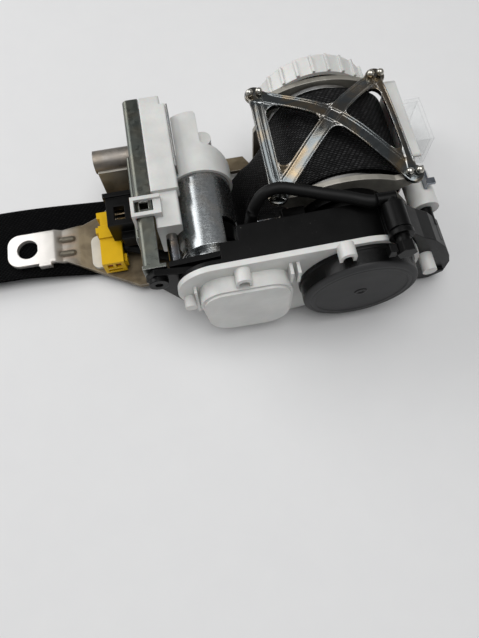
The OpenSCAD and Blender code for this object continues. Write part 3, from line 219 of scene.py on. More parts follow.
def make_plating():
    """Zinc plating: crystal cells for tone, slow warped noise for the blue to amber tint, scratches."""
    g, i, o = start_group("plating", [("Cells", FLOAT, 500.0)],
                          [("Tone", FLOAT), ("Tint", FLOAT), ("Scratch", FLOAT)])
    coords = put(g, "TexCoord").outputs["Object"]
    cells = put(g, "TexVoronoi", Randomness=1.0)
    join(g, coords, cells.inputs["Vector"])
    join(g, i.outputs["Cells"], cells.inputs["Scale"])
    shade = put(g, "SeparateColor")
    join(g, cells.outputs["Color"], shade.inputs[0])
    slow = put(g, "TexNoise", Scale=60.0, Detail=3.0, Distortion=1.6)
    join(g, coords, slow.inputs["Vector"])
    stretch = put(g, "Mapping")
    stretch.inputs["Scale"].default_value = (1.0, 14.0, 3.0)
    stretch.inputs["Rotation"].default_value = (0.2, 0.3, 0.9)
    join(g, coords, stretch.inputs["Vector"])
    lines = put(g, "TexNoise", Scale=260.0, Detail=2.0)
    join(g, stretch.outputs[0], lines.inputs["Vector"])
    join(g, shade.outputs[0], o.inputs["Tone"])
    join(g, slow.outputs[0], o.inputs["Tint"])
    join(g, lines.outputs[0], o.inputs["Scratch"])
    return g


def make_weave():
    """Webbing weave on a UV map in metres: warp ribs along U, floats shifted by a third of their length on
    each next rib. Height is rib arch times float bulge plus fuzz, Shade is the same without the fuzz, and
    the third output, a painted highlight, is a random share of its crest on each float."""
    g, i, o = start_group("weave", [("Rib", FLOAT, 0.00095), ("Float", FLOAT, 0.0021)],
                          [("Height", FLOAT), ("Shade", FLOAT), ("Glint", FLOAT)])
    uv = put(g, "UVMap", uv_map="weave")
    axes = put(g, "SeparateXYZ")
    join(g, uv.outputs[0], axes.inputs[0])
    rib = math_node(g, "DIVIDE", axes.outputs["Y"], i.outputs["Rib"])
    row = math_node(g, "FLOOR", rib)
    across = math_node(g, "SUBTRACT", rib, row)
    arch = math_node(g, "SINE", math_node(g, "MULTIPLY", across, np.pi))
    run = math_node(g, "DIVIDE", axes.outputs["X"], i.outputs["Float"])
    shifted = math_node(g, "ADD", run, math_node(g, "MULTIPLY", row, 1 / 3))
    along = math_node(g, "FRACT", shifted)
    bulge = math_node(g, "SINE", math_node(g, "MULTIPLY", along, np.pi))
    full = math_node(g, "MULTIPLY", math_node(g, "POWER", arch, 0.6),
                     math_node(g, "POWER", bulge, 0.45))
    fuzz = put(g, "TexNoise", Scale=4200.0, Detail=2.0)
    join(g, put(g, "TexCoord").outputs["Object"], fuzz.inputs["Vector"])
    rough = math_node(g, "ADD", full, math_node(g, "MULTIPLY", fuzz.outputs[0], 0.16))
    place = put(g, "CombineXYZ")
    join(g, row, place.inputs[0])
    join(g, math_node(g, "FLOOR", shifted), place.inputs[1])
    chance = put(g, "TexWhiteNoise", noise_dimensions="2D")
    join(g, place.outputs[0], chance.inputs["Vector"])
    spark = put(g, "MapRange", From_Min=0.1, From_Max=1.0)
    join(g, chance.outputs["Value"], spark.inputs["Value"])
    join(g, rough, o.inputs["Height"])
    join(g, full, o.inputs["Shade"])
    # Painted highlight: a glint on the crest of some floats.
    crest = math_node(g, "POWER", full, 5.0)
    join(g, math_node(g, "MULTIPLY", spark.outputs[0], crest), o.inputs["Glint"])
    return g


SOFT_EDGE, GRAIN, PLATING, WEAVE = make_soft_edge(), make_grain(), make_plating(), make_weave()


def begin(name, **sockets):
    """Material with a Principled BSDF; sockets are set on it as constants."""
    mat = bpy.data.materials.new(name)
    mat.use_nodes = True
    tree = mat.node_tree
    shader = tree.nodes["Principled BSDF"]
    for key, value in sockets.items():
        shader.inputs[key.replace("_", " ")].default_value = value
    return mat, tree, shader


def use(tree, group, **values):
    """Places a node group with its own values."""
    node = tree.nodes.new("ShaderNodeGroup")
    node.node_tree = group
    for key, value in values.items():
        node.inputs[key.replace("_", " ")].default_value = value
    return node


def mix_colour(tree, factor, first, second):
    """Colour mix; factor is a socket, and each colour a socket or an RGB."""
    node = put(tree, "Mix", data_type="RGBA")
    join(tree, factor, node.inputs[0])
    for k, colour in ((6, first), (7, second)):
        if isinstance(colour, (tuple, list)):
            node.inputs[k].default_value = (*colour, 1.0)
        else:
            join(tree, colour, node.inputs[k])
    return node.outputs[2]


def span(tree, value, low, high, from_low=0.0, from_high=1.0):
    """Maps a value from one range to another."""
    node = put(tree, "MapRange", From_Min=from_low, From_Max=from_high, To_Min=low, To_Max=high)
    join(tree, value, node.inputs["Value"])
    return node.outputs[0]


def mottle(tree, grain, low, high):
    """Broad noise of a grain node, its usual spread mapped to a range."""
    return span(tree, grain.outputs["Mottle"], low, high, 0.3, 0.7)


BUMP_DEPTH = 0.0002


def bump(tree, shader, height, normal, strength):
    """Bump on top of a rounded normal, into the shader."""
    node = put(tree, "Bump", Strength=strength, Distance=BUMP_DEPTH)
    join(tree, height, node.inputs["Height"])
    join(tree, normal, node.inputs["Normal"])
    join(tree, node.outputs[0], shader.inputs["Normal"])


# Finishes

PALE_DUST, GREY_DUST = (0.62, 0.6, 0.56), (0.4, 0.39, 0.37)
# Places in the row frame, in metres, between which a finish or its painted light and shade changes
LIT_ROLL_X = (0.09, 0.138)
TAB_BARE_LIT_X, TAB_END_LIT_X, WALL_Z = (0.012, 0.026), (0.002, 0.021), (0.004, 0.02)
COVER_FRONT_Y = (-0.0619, -0.0605)
# The tab's two pressed ribs, painted dark as shade in an amber painted halo: their middle, half the distance
# between them, and how they fade
RIB_X, RIB_Y, RIB_APART = 0.0195, -0.0006, 0.004
RIB_END, RIB_SIDE, RIB_HALO = (0.0035, 0.0055), (0.001, 0.0023), (0.0018, 0.0038)


def moulded(name, colour, edge_tone, rough=(0.38, 0.55), scale=2600.0, strength=0.12, dust=0.25, **sockets):
    """Moulded plastic: mottled colour, grain bump, paler edges and a little dust."""
    mat, tree, shader = begin(name, **sockets)
    edge = use(tree, SOFT_EDGE, Radius=0.0005)
    grain = use(tree, GRAIN, Scale=scale)
    deep = tuple(c * 0.82 for c in colour)
    tone = mix_colour(tree, mottle(tree, grain, 0.0, 1.0), deep, colour)
    # Paler colour along the edges.
    tone = mix_colour(tree, span(tree, edge.outputs["Edge"], 0.0, 0.55), tone, edge_tone)
    tone = mix_colour(tree, span(tree, grain.outputs["Dust"], 0.0, dust), tone, PALE_DUST)
    join(tree, tone, shader.inputs["Base Color"])
    join(tree, mottle(tree, grain, *rough), shader.inputs["Roughness"])
    bump(tree, shader, grain.outputs["Height"], edge.outputs["Normal"], strength)
    return mat


def plated(name, colour, cool, warm, rough=(0.22, 0.4), cells=500.0, tint=0.5, radius=0.0004):
    """Plated steel: cells and passivation tint in the colour, scratches in roughness and bump, edges painted
    bright as a highlight.
    """
    mat, tree, shader = begin(name, Metallic=1.0)
    edge = use(tree, SOFT_EDGE, Radius=radius)
    zinc = use(tree, PLATING, Cells=cells)
    deep = tuple(c * 0.84 for c in colour)
    tone = mix_colour(tree, span(tree, zinc.outputs["Tone"], 0.0, 1.0), deep, colour)
    shade = mix_colour(tree, span(tree, zinc.outputs["Tint"], 0.0, 1.0, 0.38, 0.62), cool, warm)
    tone = mix_colour(tree, span(tree, zinc.outputs["Tint"], tint * 0.4, tint), tone, shade)
    # Painted highlight along the edges.
    tone = mix_colour(tree, span(tree, edge.outputs["Edge"], 0.0, 0.5), tone, (0.86, 0.86, 0.85))
    join(tree, tone, shader.inputs["Base Color"])
    mixed = math_node(tree, "ADD", math_node(tree, "MULTIPLY", zinc.outputs["Tone"], 0.4),
                      math_node(tree, "MULTIPLY", zinc.outputs["Scratch"], 0.6))
    join(tree, span(tree, mixed, *rough, 0.2, 0.8), shader.inputs["Roughness"])
    bump(tree, shader, zinc.outputs["Scratch"], edge.outputs["Normal"], 0.12)
    return mat


def woven(name):
    """Black belt webbing: weave height, painted shade in its grooves, painted highlights on its floats, and a
    duller, deeper black along the flat run, painted as shade.
    """
    mat, tree, shader = begin(name)
    weave = use(tree, WEAVE)
    grain = use(tree, GRAIN, Scale=1800.0)
    # Share of the painted highlights and specular kept: low along the flat run, a painted shade there.
    lit_on_roll = span(tree, object_axes(tree)["X"], 0.12, 1.0, *LIT_ROLL_X)
    join(tree, math_node(tree, "MULTIPLY", lit_on_roll, 0.2), shader.inputs["Specular IOR Level"])
    # Painted shade: a deeper black in the weave's grooves than on its crests.
    crest = span(tree, weave.outputs["Shade"], 0.0, 1.0, 0.2, 0.95)
    tone = mix_colour(tree, crest, (0.0008, 0.0008, 0.001), (0.0045, 0.0045, 0.0048))
    # Painted highlights on the floats' crests, cut back on the flat run.
    glint = math_node(tree, "MULTIPLY", weave.outputs["Glint"], lit_on_roll)
    tone = mix_colour(tree, glint, tone, (0.055, 0.055, 0.056))
    tone = mix_colour(tree, span(tree, grain.outputs["Dust"], 0.0, 0.12), tone, GREY_DUST)
    join(tree, tone, shader.inputs["Base Color"])
    join(tree, span(tree, weave.outputs["Shade"], 0.8, 0.4), shader.inputs["Roughness"])
    node = put(tree, "Bump", Strength=0.9, Distance=0.0004)
    join(tree, weave.outputs["Height"], node.inputs["Height"])
    join(tree, node.outputs[0], shader.inputs["Normal"])
    return mat


def frame_steel(name):
    """Amber passivated base plate darkened by painted shade, greyer walls above it, and a barer tab whose
    painted highlight brightens towards its end, with two pressed ribs painted dark as shade in an amber painted
    halo at its root."""
    mat, tree, shader = begin(name, Specular_IOR_Level=0.4)
    edge = use(tree, SOFT_EDGE, Radius=0.0006)
    zinc = use(tree, PLATING, Cells=650.0)
    axes = object_axes(tree)
    drift = span(tree, zinc.outputs["Tint"], 0.0, 1.0, 0.35, 0.65)
    # Tab masks: its barer steel, and a painted highlight towards its end.
    tab_bare_and_lit = span(tree, axes["X"], 1.0, 0.0, *TAB_BARE_LIT_X)
    lit_tab_end = span(tree, axes["X"], 1.0, 0.0, *TAB_END_LIT_X)
    # Masks for the painted shade on the tab's two pressed ribs and its amber halo.
    across = away(tree, away(tree, axes["Y"], RIB_Y), RIB_APART)
    near_rib = span(tree, away(tree, axes["X"], RIB_X), 1.0, 0.0, *RIB_END)
    halo = math_node(tree, "MULTIPLY", span(tree, across, 0.4, 0.0, *RIB_HALO), near_rib)
    rib = math_node(tree, "MULTIPLY", span(tree, across, 0.85, 0.0, *RIB_SIDE), near_rib)
    join(tree, span(tree, tab_bare_and_lit, 0.55, 0.75), shader.inputs["Metallic"])
    amber = mix_colour(tree, drift, (0.1, 0.075, 0.045), (0.22, 0.175, 0.11))
    grey = mix_colour(tree, drift, (0.28, 0.268, 0.232), (0.44, 0.418, 0.368))
    dull = mix_colour(tree, drift, (0.42, 0.4, 0.365), (0.6, 0.57, 0.53))
    # Painted highlight: the tab's colour brightens towards its end.
    bright = mix_colour(tree, lit_tab_end, dull, (0.93, 0.9, 0.86))
    # Painted shade: the low plate's amber passivation is darkened below the greyer walls.
    tone = mix_colour(tree, span(tree, axes["Z"], 0.0, 1.0, *WALL_Z), amber, grey)
    tone = mix_colour(tree, tab_bare_and_lit, tone, bright)
    # Painted shade: an amber halo round the pressed ribs.
    tone = mix_colour(tree, halo, tone, (0.34, 0.21, 0.13))
    # Painted highlight along the edges.
    tone = mix_colour(tree, span(tree, edge.outputs["Edge"], 0.0, 0.5), tone, (0.7, 0.67, 0.62))
    # Painted shade: the pressed ribs themselves painted dark.
    tone = mix_colour(tree, rib, tone, (0.1, 0.095, 0.072))
    join(tree, tone, shader.inputs["Base Color"])
    join(tree, span(tree, zinc.outputs["Scratch"], 0.36, 0.58, 0.25, 0.75), shader.inputs["Roughness"])
    bump(tree, shader, zinc.outputs["Scratch"], edge.outputs["Normal"], 0.15)
    return mat


def spring_cup(name):
    """Spring cover: a grained front face made greyer by a painted sheen, and a darker, glossier side, parted by
    depth along Y.
    """
    mat, tree, shader = begin(name, Specular_IOR_Level=0.22)
    edge = use(tree, SOFT_EDGE, Radius=0.0005)
    grain = use(tree, GRAIN, Scale=1500.0)
    front = span(tree, object_axes(tree)["Y"], 1.0, 0.0, *COVER_FRONT_Y)
    # Painted sheen: the grained front face is greyer than the darker side.
    face = mix_colour(tree, mottle(tree, grain, 0.0, 1.0), (0.038, 0.038, 0.039), (0.05, 0.05, 0.051))
    tone = mix_colour(tree, front, (0.004, 0.004, 0.004), face)
    tone = mix_colour(tree, span(tree, grain.outputs["Dust"], 0.0, 0.2), tone, GREY_DUST)
    join(tree, tone, shader.inputs["Base Color"])
    join(tree, span(tree, front, 0.26, 0.6), shader.inputs["Roughness"])
    bump(tree, shader, grain.outputs["Height"], edge.outputs["Normal"], 0.25)
    return mat


def clear_sheet(name):
    """Clear moulded cover: nearly see-through in its faces, whiter along its edges."""
    mat, tree, shader = begin(name, Base_Color=(0.9, 0.92, 0.92, 1.0), Roughness=0.25, Specular_IOR_Level=0.4)
    edge = use(tree, SOFT_EDGE, Radius=0.0007)
    grain = use(tree, GRAIN, Scale=1200.0)
    cloud = mottle(tree, grain, 0.08, 0.2)
    rim = span(tree, edge.outputs["Edge"], 0.0, 0.45)
    join(tree, math_node(tree, "ADD", cloud, rim, clamp=True), shader.inputs["Alpha"])
    bump(tree, shader, grain.outputs["Height"], edge.outputs["Normal"], 0.1)
    return mat


# Plastics take their colour and that of their paler edges, metals their colour and its cool and warm tint
FINISHES = {
    "zinc_steel": plated("zinc_steel", (0.3, 0.31, 0.32), (0.2, 0.27, 0.38), (0.46, 0.32, 0.18),
                         rough=(0.16, 0.28), tint=0.6),
    "brown_zinc": frame_steel("brown_zinc"),
    "tube_steel": plated("tube_steel", (0.3, 0.27, 0.24), (0.25, 0.25, 0.25), (0.34, 0.29, 0.23),
                         rough=(0.42, 0.58)),
    "black_plastic": moulded("black_plastic", (0.0022, 0.0022, 0.0022), (0.01, 0.01, 0.01),
                             rough=(0.28, 0.4), Specular_IOR_Level=0.14),
    "white_plastic": moulded("white_plastic", (0.75, 0.75, 0.725), (0.82, 0.82, 0.8), rough=(0.32, 0.37),
                             dust=0.1, Subsurface_Weight=0.12, Subsurface_Scale=0.002),
    "yellow_plastic": moulded("yellow_plastic", (0.74, 0.44, 0.0), (0.86, 0.58, 0.03), rough=(0.36, 0.48),
                              dust=0.1, Specular_IOR_Level=0.2),
    "red_plastic": moulded("red_plastic", (0.26, 0.04, 0.015), (0.38, 0.1, 0.06)),
    "pad": moulded("pad", (0.66, 0.64, 0.57), (0.74, 0.72, 0.66), rough=(0.7, 0.85), scale=1500.0,
                   strength=0.5),
    "lead_rubber": moulded("lead_rubber", (0.0035, 0.0035, 0.0035), (0.01, 0.01, 0.01), rough=(0.46, 0.6),
                           scale=3500.0, Specular_IOR_Level=0.22),
    "dark_steel": plated("dark_steel", (0.13, 0.14, 0.125), (0.1, 0.115, 0.11), (0.19, 0.175, 0.135),
                         rough=(0.26, 0.4)),
    "cast_alloy": plated("cast_alloy", (0.34, 0.34, 0.33), (0.31, 0.32, 0.335), (0.37, 0.345, 0.31),
                         rough=(0.42, 0.6)),
    "webbing": woven("webbing"),
    "gear_plastic": moulded("gear_plastic", (0.7, 0.68, 0.6), (0.78, 0.77, 0.7)),
    "bronze": plated("bronze", (0.62, 0.42, 0.18), (0.55, 0.4, 0.2), (0.68, 0.48, 0.2), tint=0.3),
    "winding": plated("winding", (0.5, 0.24, 0.1), (0.42, 0.2, 0.1), (0.6, 0.32, 0.14), tint=0.3),
    "magnet": moulded("magnet", (0.05, 0.05, 0.055), (0.1, 0.1, 0.1)),
    "board_green": moulded("board_green", (0.02, 0.14, 0.06), (0.08, 0.2, 0.12)),
    "chip_black": moulded("chip_black", (0.02, 0.02, 0.022), (0.05, 0.05, 0.05)),
    "bright_steel": plated("bright_steel", (0.72, 0.72, 0.74), (0.7, 0.72, 0.76), (0.74, 0.72, 0.7),
                           rough=(0.08, 0.14)),
    "clear_plastic": clear_sheet("clear_plastic"),
}
CAN_STEEL = plated("can_steel", (0.46, 0.47, 0.47), (0.38, 0.43, 0.46), (0.52, 0.49, 0.44), rough=(0.2, 0.3),
                   cells=1500.0)
BRACE_ZINC = plated("brace_zinc", (0.15, 0.153, 0.14), (0.1, 0.125, 0.15), (0.3, 0.21, 0.11),
                    rough=(0.13, 0.24), tint=0.7, radius=0.0007)
RIVET_ZINC = plated("rivet_zinc", (0.64, 0.62, 0.56), (0.52, 0.52, 0.49), (0.68, 0.6, 0.47), rough=(0.2, 0.32))
DULL_ZINC = plated("dull_zinc", (0.3, 0.31, 0.31), (0.26, 0.3, 0.34), (0.36, 0.34, 0.3), rough=(0.42, 0.58))
# Nodes whose look differs from the rest of their slot
OWN = {"spring_cover": spring_cup("spring_cup"), "brace_rivets": RIVET_ZINC, "motor_can": CAN_STEEL,
       "motor_end_bell": CAN_STEEL, "shield_sheet": DULL_ZINC}
SLOT_OF = {s["node"]: s["material_slot"] for s in frame["record"]["subparts"]}
for name, piece in nodes.items():
    piece.data.materials.clear()
    piece.data.materials.append(OWN.get(name, FINISHES[SLOT_OF[name]]))


# Surfaces

def grid_quads(rows, columns, around_i=False, around_j=False):
    """Quads of a grid, closed in either direction, as an (n, 4) array of point numbers."""
    index = np.arange(rows * columns).reshape(rows, columns)
    if around_i:
        index = np.vstack([index, index[:1]])
    if around_j:
        index = np.hstack([index, index[:, :1]])
    return np.stack([index[:-1, :-1], index[1:, :-1], index[1:, 1:], index[:-1, 1:]], -1).reshape(-1, 4)


def loop_faces(rows, columns):
    """Faces of a closed loop carried along a line: the side quads, and a cap at each end."""
    caps = [np.arange(columns), (rows - 1) * columns + np.arange(columns)[::-1]]
    return list(grid_quads(rows, columns, False, True)) + caps


def quad_uv(uv):
    """UV of the corners of a grid's quads, for quads turned over."""
    return np.stack([uv[:-1, 1:], uv[1:, 1:], uv[1:, :-1], uv[:-1, :-1]], -2).reshape(-1, 2)


def full_turn(count):
    """Angles of even steps round a full turn."""
    return np.linspace(0, 2 * np.pi, count + 1)[:-1]


def volume(points, faces):
    """Signed volume of a closed skin: the sum over its fan triangles of a . (b x c) / 6."""
    fans = np.array([(f[0], f[k], f[k + 1]) for f in faces for k in range(1, len(f) - 1)])
    a, b, c = (points[fans[:, k]] for k in range(3))
    return np.einsum("ij,ij->", a, np.cross(b, c)) / 6


def add_piece(name, parts, body, slot, stands_for=(), uv=None, material=None):
    """One mesh from several (points, faces) parts; it rides a body, and may stand for CAD nodes. Parts without
    UV are turned outwards by the sign of their volume."""
    verts, faces, base = [], [], 0
    for points, quads in parts:
        points = np.asarray(points, float).reshape(-1, 3)
        if uv is None and volume(points, quads) < 0:
            quads = [face[::-1] for face in quads]
        verts.append(points)
        faces += [[int(k) + base for k in face] for face in quads]
        base += len(points)
    mesh = bpy.data.meshes.new(name)
    mesh.from_pydata(at(np.vstack(verts)).tolist(), [], faces)
    mesh.polygons.foreach_set("use_smooth", np.ones(len(faces), bool))
    if uv is not None:
        layer = mesh.uv_layers.new(name="weave")
        layer.data.foreach_set("uv", np.asarray(uv, np.float32).ravel())
    mesh.validate()
    mesh.update()
    piece = bpy.data.objects.new(name, mesh)
    bpy.context.scene.collection.objects.link(piece)
    mesh.materials.append(material or FINISHES[slot])
    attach(piece, body)
    if stands_for:
        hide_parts(*stands_for)
    return piece


def smooth_line(points, step):
    """Centripetal spline through points, resampled at even steps of arc length."""
    samples = 1500
    p = np.asarray(points, float)
    p = np.vstack([2 * p[0] - p[1], p, 2 * p[-1] - p[-2]])
    knots = np.concatenate([[0], np.cumsum(np.linalg.norm(np.diff(p, axis=0), axis=1) ** 0.5)])
    t = np.linspace(knots[1], knots[-2], samples)
    k = np.clip(np.searchsorted(knots, t, side="right") - 1, 1, len(p) - 3)

    def mix(a, b, ta, tb):
        return a * ((tb - t) / (tb - ta))[:, None] + b * ((t - ta) / (tb - ta))[:, None]

    t0, t1, t2, t3 = knots[k - 1], knots[k], knots[k + 1], knots[k + 2]
    a1, a2 = mix(p[k - 1], p[k], t0, t1), mix(p[k], p[k + 1], t1, t2)
    a3 = mix(p[k + 1], p[k + 2], t2, t3)
    b1, b2 = mix(a1, a2, t0, t2), mix(a2, a3, t1, t3)
    line = mix(b1, b2, t1, t2)
    length = np.concatenate([[0], np.cumsum(np.linalg.norm(np.diff(line, axis=0), axis=1))])
    even = np.linspace(0, length[-1], int(length[-1] / step) + 2)
    return np.stack([np.interp(even, length, line[:, c]) for c in range(line.shape[1])], -1), length[-1]


def ramp(x, low, high):
    """Smooth step from 0 at low to 1 at high."""
    s = np.clip((np.asarray(x, float) - low) / (high - low), 0, 1)
    return s * s * (3 - 2 * s)


# Webbing

def make_roll():
    """Wound webbing: a lathe whose side profile steps in and out once per layer, so the layers' edges show."""
    around, per_layer, dip_depth, sag, round_off, selvage = 144, 6, 0.35, 0.25, 0.3, 0.2
    layers = int((ROLL_R - BARREL_R) / WEB_T)
    edge = np.linspace(BARREL_R, ROLL_R - round_off, layers * per_layer)
    dip = dip_depth * (1 - np.abs(np.sin(np.pi * (edge - BARREL_R) / WEB_T)) ** 0.5)
    flat = np.linspace(-1, 1, 25)
    outer = ROLL_R - sag * np.abs(flat) ** 6
    radius = np.concatenate([edge, outer, edge[::-1]])
    across = np.concatenate([-WEB_W / 2 + dip, flat * (WEB_W / 2 - selvage), WEB_W / 2 - dip[::-1]])
    turn = full_turn(around)
    grid = np.stack([radius * np.cos(turn)[:, None], np.broadcast_to(across, (around, len(across))),
                     radius * np.sin(turn)[:, None]], -1)
    quads = grid_quads(around, len(across), True, True)[:, ::-1]
    u = np.append(turn, 2 * np.pi)[:, None] * ROLL_R / MM + np.zeros(len(across) + 1)
    v = np.broadcast_to(np.append(across, across[0]) / MM, u.shape)
    add_piece("wound_webbing", [(grid, quads)], "spool", "webbing", ("webbing_roll",),
              uv=quad_uv(np.stack([u, v], -1)))


# The strap's line seen along Y: an outer turn that stands off the roll, slack over the top and bulging on the
# right, then the drop through the window and the flat run on the floor
STRAP_LIE = FLOOR + WEB_T / 2 + 0.1
ROLL_GAP, SLACK, BULGE = 0.5, 5.0, 2.6
TURN_DEG = np.arange(-58, 167, 8)
STAND_OFF = (SLACK * np.sin(np.pi * np.clip((TURN_DEG + 60) / 156, 0, 1)) ** 2
             + BULGE * np.exp(-((TURN_DEG - 22) / 17) ** 2))
STRAP_LINE = np.vstack([
    (ROLL_R + ROLL_GAP + WEB_T / 2 + STAND_OFF)[:, None]
    * np.stack([np.cos(np.radians(TURN_DEG)), np.sin(np.radians(TURN_DEG))], -1),
    [[-25.4, -3.5], [-29, -12], [-33.6, -19], [-38.4, -24], [-41, -28.4], [-43, -31], [-48, STRAP_LIE],
     [-70, STRAP_LIE], [-100, STRAP_LIE], [-130, STRAP_LIE], [-152, STRAP_LIE], [-191.5, STRAP_LIE]]])


def strap_frame(line):
    """Side drift of the strap, and lift of its near edge, along its line: nearer by the window, farther again
    on the flat run, where the near edge rises towards the tab."""
    left = -line[:, 0]
    drift = 3.8 * ramp(left, 85, 165) - 1.5 * np.clip((left - 21) / 13, 0, 1)
    return drift, 6.4 * np.clip((left - 98) / 54, 0, 1)


def make_strap():
    """Free webbing: a flat oval section, thinner at its selvages, carried along the strap's line. Its near edge
    is lifted and waves a little, and no point sinks into the floor."""
    step, ripple, wave_length, floor_gap = 1.5, 0.25, 17.0, 0.02
    line, length = smooth_line(STRAP_LINE, step)
    along = unit(np.gradient(line, axis=0))
    up = np.stack([-along[:, 1], along[:, 0]], -1)
    top = np.linspace(1, -1, 41)
    side = np.concatenate([top, -top[1:-1]])
    sign = np.concatenate([np.ones(len(top)), -np.ones(len(top) - 2)])
    thin = 1 - 0.12 * ramp(np.abs(side), 0.9, 0.95)
    half = sign * WEB_T / 2 * (1 - np.abs(side) ** 14) ** 0.5 * thin
    drift, lift = strap_frame(line)
    wave = np.abs(ripple * np.sin(line[:, 0] / wave_length)) * ramp(-line[:, 0], 60, 100)
    near = ((1 - side) / 2) ** 2.2
    grid = np.stack([line[:, :1] + up[:, :1] * half, drift[:, None] + side * WEB_W / 2,
                     line[:, 1:] + up[:, 1:] * half + (lift + wave / 2)[:, None] * near], -1)
    grid[..., 2] = np.maximum(grid[..., 2], FLOOR + floor_gap)
    rows, columns = grid.shape[:2]
    faces = [face[::-1] for face in loop_faces(rows, columns)]
    u = np.linspace(0, length, rows)[:, None] / MM + np.zeros(columns + 1)
    v = np.broadcast_to(np.append(side, side[0]) * WEB_W / 2 / MM, u.shape)
    uv = np.stack([u, v], -1)
    piece = add_piece("free_strap", [(grid, faces)], "retractor", "webbing", ("webbing_strap",),
                      uv=np.concatenate([quad_uv(uv), uv[0, :-1][::-1], uv[-1, :-1]]))


# Lead

# From the generator's elbow over the gear case, down behind it and along the plate to the yellow plug
LEAD_ROUTE = [[6.95, -42.4, 30.6], [5.6, -42.4, 30.6], [3, -41.5, 30.4], [-3, -38.5, 29.9], [-12, -34.6, 29.2],
              [-22, -30.4, 28.8], [-30, -28, 28.8], [-36, -28.4, 27], [-40.5, -30.8, 21], [-42.6, -32.6, 10],
              [-43, -33, -6], [-45.5, -32.4, -15], [-52, -30.6, -21], [-64, -27.6, -22.9],
              [-80, -23.4, -22.9], [-90, -19.6, -22.4], [-97, -16.8, -20.2], [-101.4, -16, -19.4],
              [-102.95, -16, -19.4]]


def tube(line, radius, around):
    """Round section carried along a line, its axes squared to one fixed direction; the radius may change."""
    aside = [0.31, 0.22, 0.93]
    along = unit(np.gradient(line, axis=0))
    first = unit(np.cross(along, aside))
    second = np.cross(along, first)
    turn = full_turn(around)[:, None]
    ring = np.cos(turn) * first[:, None] + np.sin(turn) * second[:, None]
    return line[:, None] + np.broadcast_to(radius, len(line))[:, None, None] * ring


def make_lead():
    """Generator lead: a soft round sleeve on its route, its radius rippled by a cosine of the way along it."""
    line, length = smooth_line(LEAD_ROUTE, step=1.2)
    way = np.linspace(0, length, len(line))
    ripple = 0.5 + 0.5 * np.cos(way * 2 * np.pi / RIPPLE_PITCH)
    grid = tube(line, LEAD_R * (1 - RIPPLE_DEPTH * ripple), around=20)
    piece = add_piece("soft_lead", [(grid, loop_faces(*grid.shape[:2]))], "retractor", "lead_rubber",
                      ("generator_lead",))


# Brace

def crown(xy):
    """Height of the brace's underside: a dome over the four corners that falls with the squares of x and y, and
    a low ridge along x that falls with y alone; flat beyond the walls."""
    ridge = 0.15 * BRACE_CROWN
    x, y = xy[..., 0], np.clip(xy[..., 1], -WALL_OUT, WALL_OUT)
    fall = 1 - (y / WALL_OUT) ** 2
    return CORNER_Z + BRACE_CROWN * (1 - (x / CORNER_X) ** 2) * fall + ridge * fall


def brace_strip(start, end, width, lip, flare, rib=0.0):
    """Stamped strip between two corners: edge lips that fade at the ends, optional middle rib, flared feet."""
    rows, flare_reach, rib_half, edge_drop = 61, 5.5, 0.16, 0.45
    start, end = np.array(start, float), np.array(end, float)
    s = np.linspace(0, 1, rows)
    along = unit(end - start)
    side = np.array([-along[1], along[0]])
    foot = np.minimum(s, 1 - s) * np.linalg.norm(end - start)
    half = width / 2 + flare * np.exp(-(foot / flare_reach) ** 2)
    t = np.linspace(-1, 1, 33)
    fade = ramp(foot, 3, 9)[:, None]
    top = BRACE_T + lip * fade * ramp(np.abs(t), 0.62, 0.84) + rib * fade * np.exp(-(t / rib_half) ** 2)
    top = top - edge_drop * ramp(np.abs(t), 0.93, 1.0)
    under = np.linspace(1, -1, 9)[1:-1]
    t_all = np.concatenate([t, under])
    rise = np.hstack([top, np.zeros((rows, len(under)))])
    centre = start + s[:, None] * (end - start)
    xy = centre[:, None] + (half[:, None] * t_all)[..., None] * side
    grid = np.concatenate([xy, (crown(xy) + rise)[..., None]], -1)
    return grid, loop_faces(rows, len(t_all))


def brace_web(apex, first, second, radius):
    """Fillet web in a corner: a fan from the apex to an arc tangent to both edges, with a lip along the arc."""
    rows, columns, lip, overlap, edge_drop = 15, 25, 0.8, 0.6, 0.4
    half = np.arccos(np.clip(first @ second, -1, 1)) / 2
    middle = unit(first + second)
    centre = apex + middle * radius / np.sin(half)
    a0, a1 = (np.arctan2(*(apex + d * radius / np.tan(half) - centre)[::-1]) for d in (first, second))
    a1 = a0 + (a1 - a0 + np.pi) % (2 * np.pi) - np.pi
    turn = np.linspace(a0, a1, columns)
    arc = centre + radius * np.stack([np.cos(turn), np.sin(turn)], -1)
    root = apex - middle * overlap
    v = np.linspace(0.1, 1, rows)
    xy = root + v[:, None, None] * (arc - root)
    rise = BRACE_T + 0.02 + lip * ramp(v, 0.62, 0.86) - edge_drop * ramp(v, 0.94, 1.0)
    under = crown(xy)
    top = np.concatenate([xy, (under + rise[:, None])[..., None]], -1)
    low = np.concatenate([xy, (under + 0.05)[..., None]], -1)
    ring = columns * np.arange(2 * rows)
    sides = [ring[::-1], ring + columns - 1]
    return np.concatenate([top, low[::-1]]), list(grid_quads(2 * rows, columns, True)) + sides


def brace_pad(corner):
    """Round foot under two staked lugs: a disc with a rolled rim."""
    around, core = 40, 0.01
    radius = np.array([core, FOOT_R - 0.4, FOOT_R - 0.1, FOOT_R, FOOT_R, core])
    rise = np.array([BRACE_T, BRACE_T, BRACE_T - 0.15, BRACE_T - 0.45, 0.0, 0.0])
    columns = len(radius)
    turn = full_turn(around)[:, None]
    grid = np.stack([corner[0] + radius * np.cos(turn), corner[1] + radius * np.sin(turn),
                     np.broadcast_to(CORNER_Z + rise, (around, columns))], -1)
    ring = columns * np.arange(around)
    return grid, list(grid_quads(around, columns, True)) + [ring[::-1], ring + columns - 1]


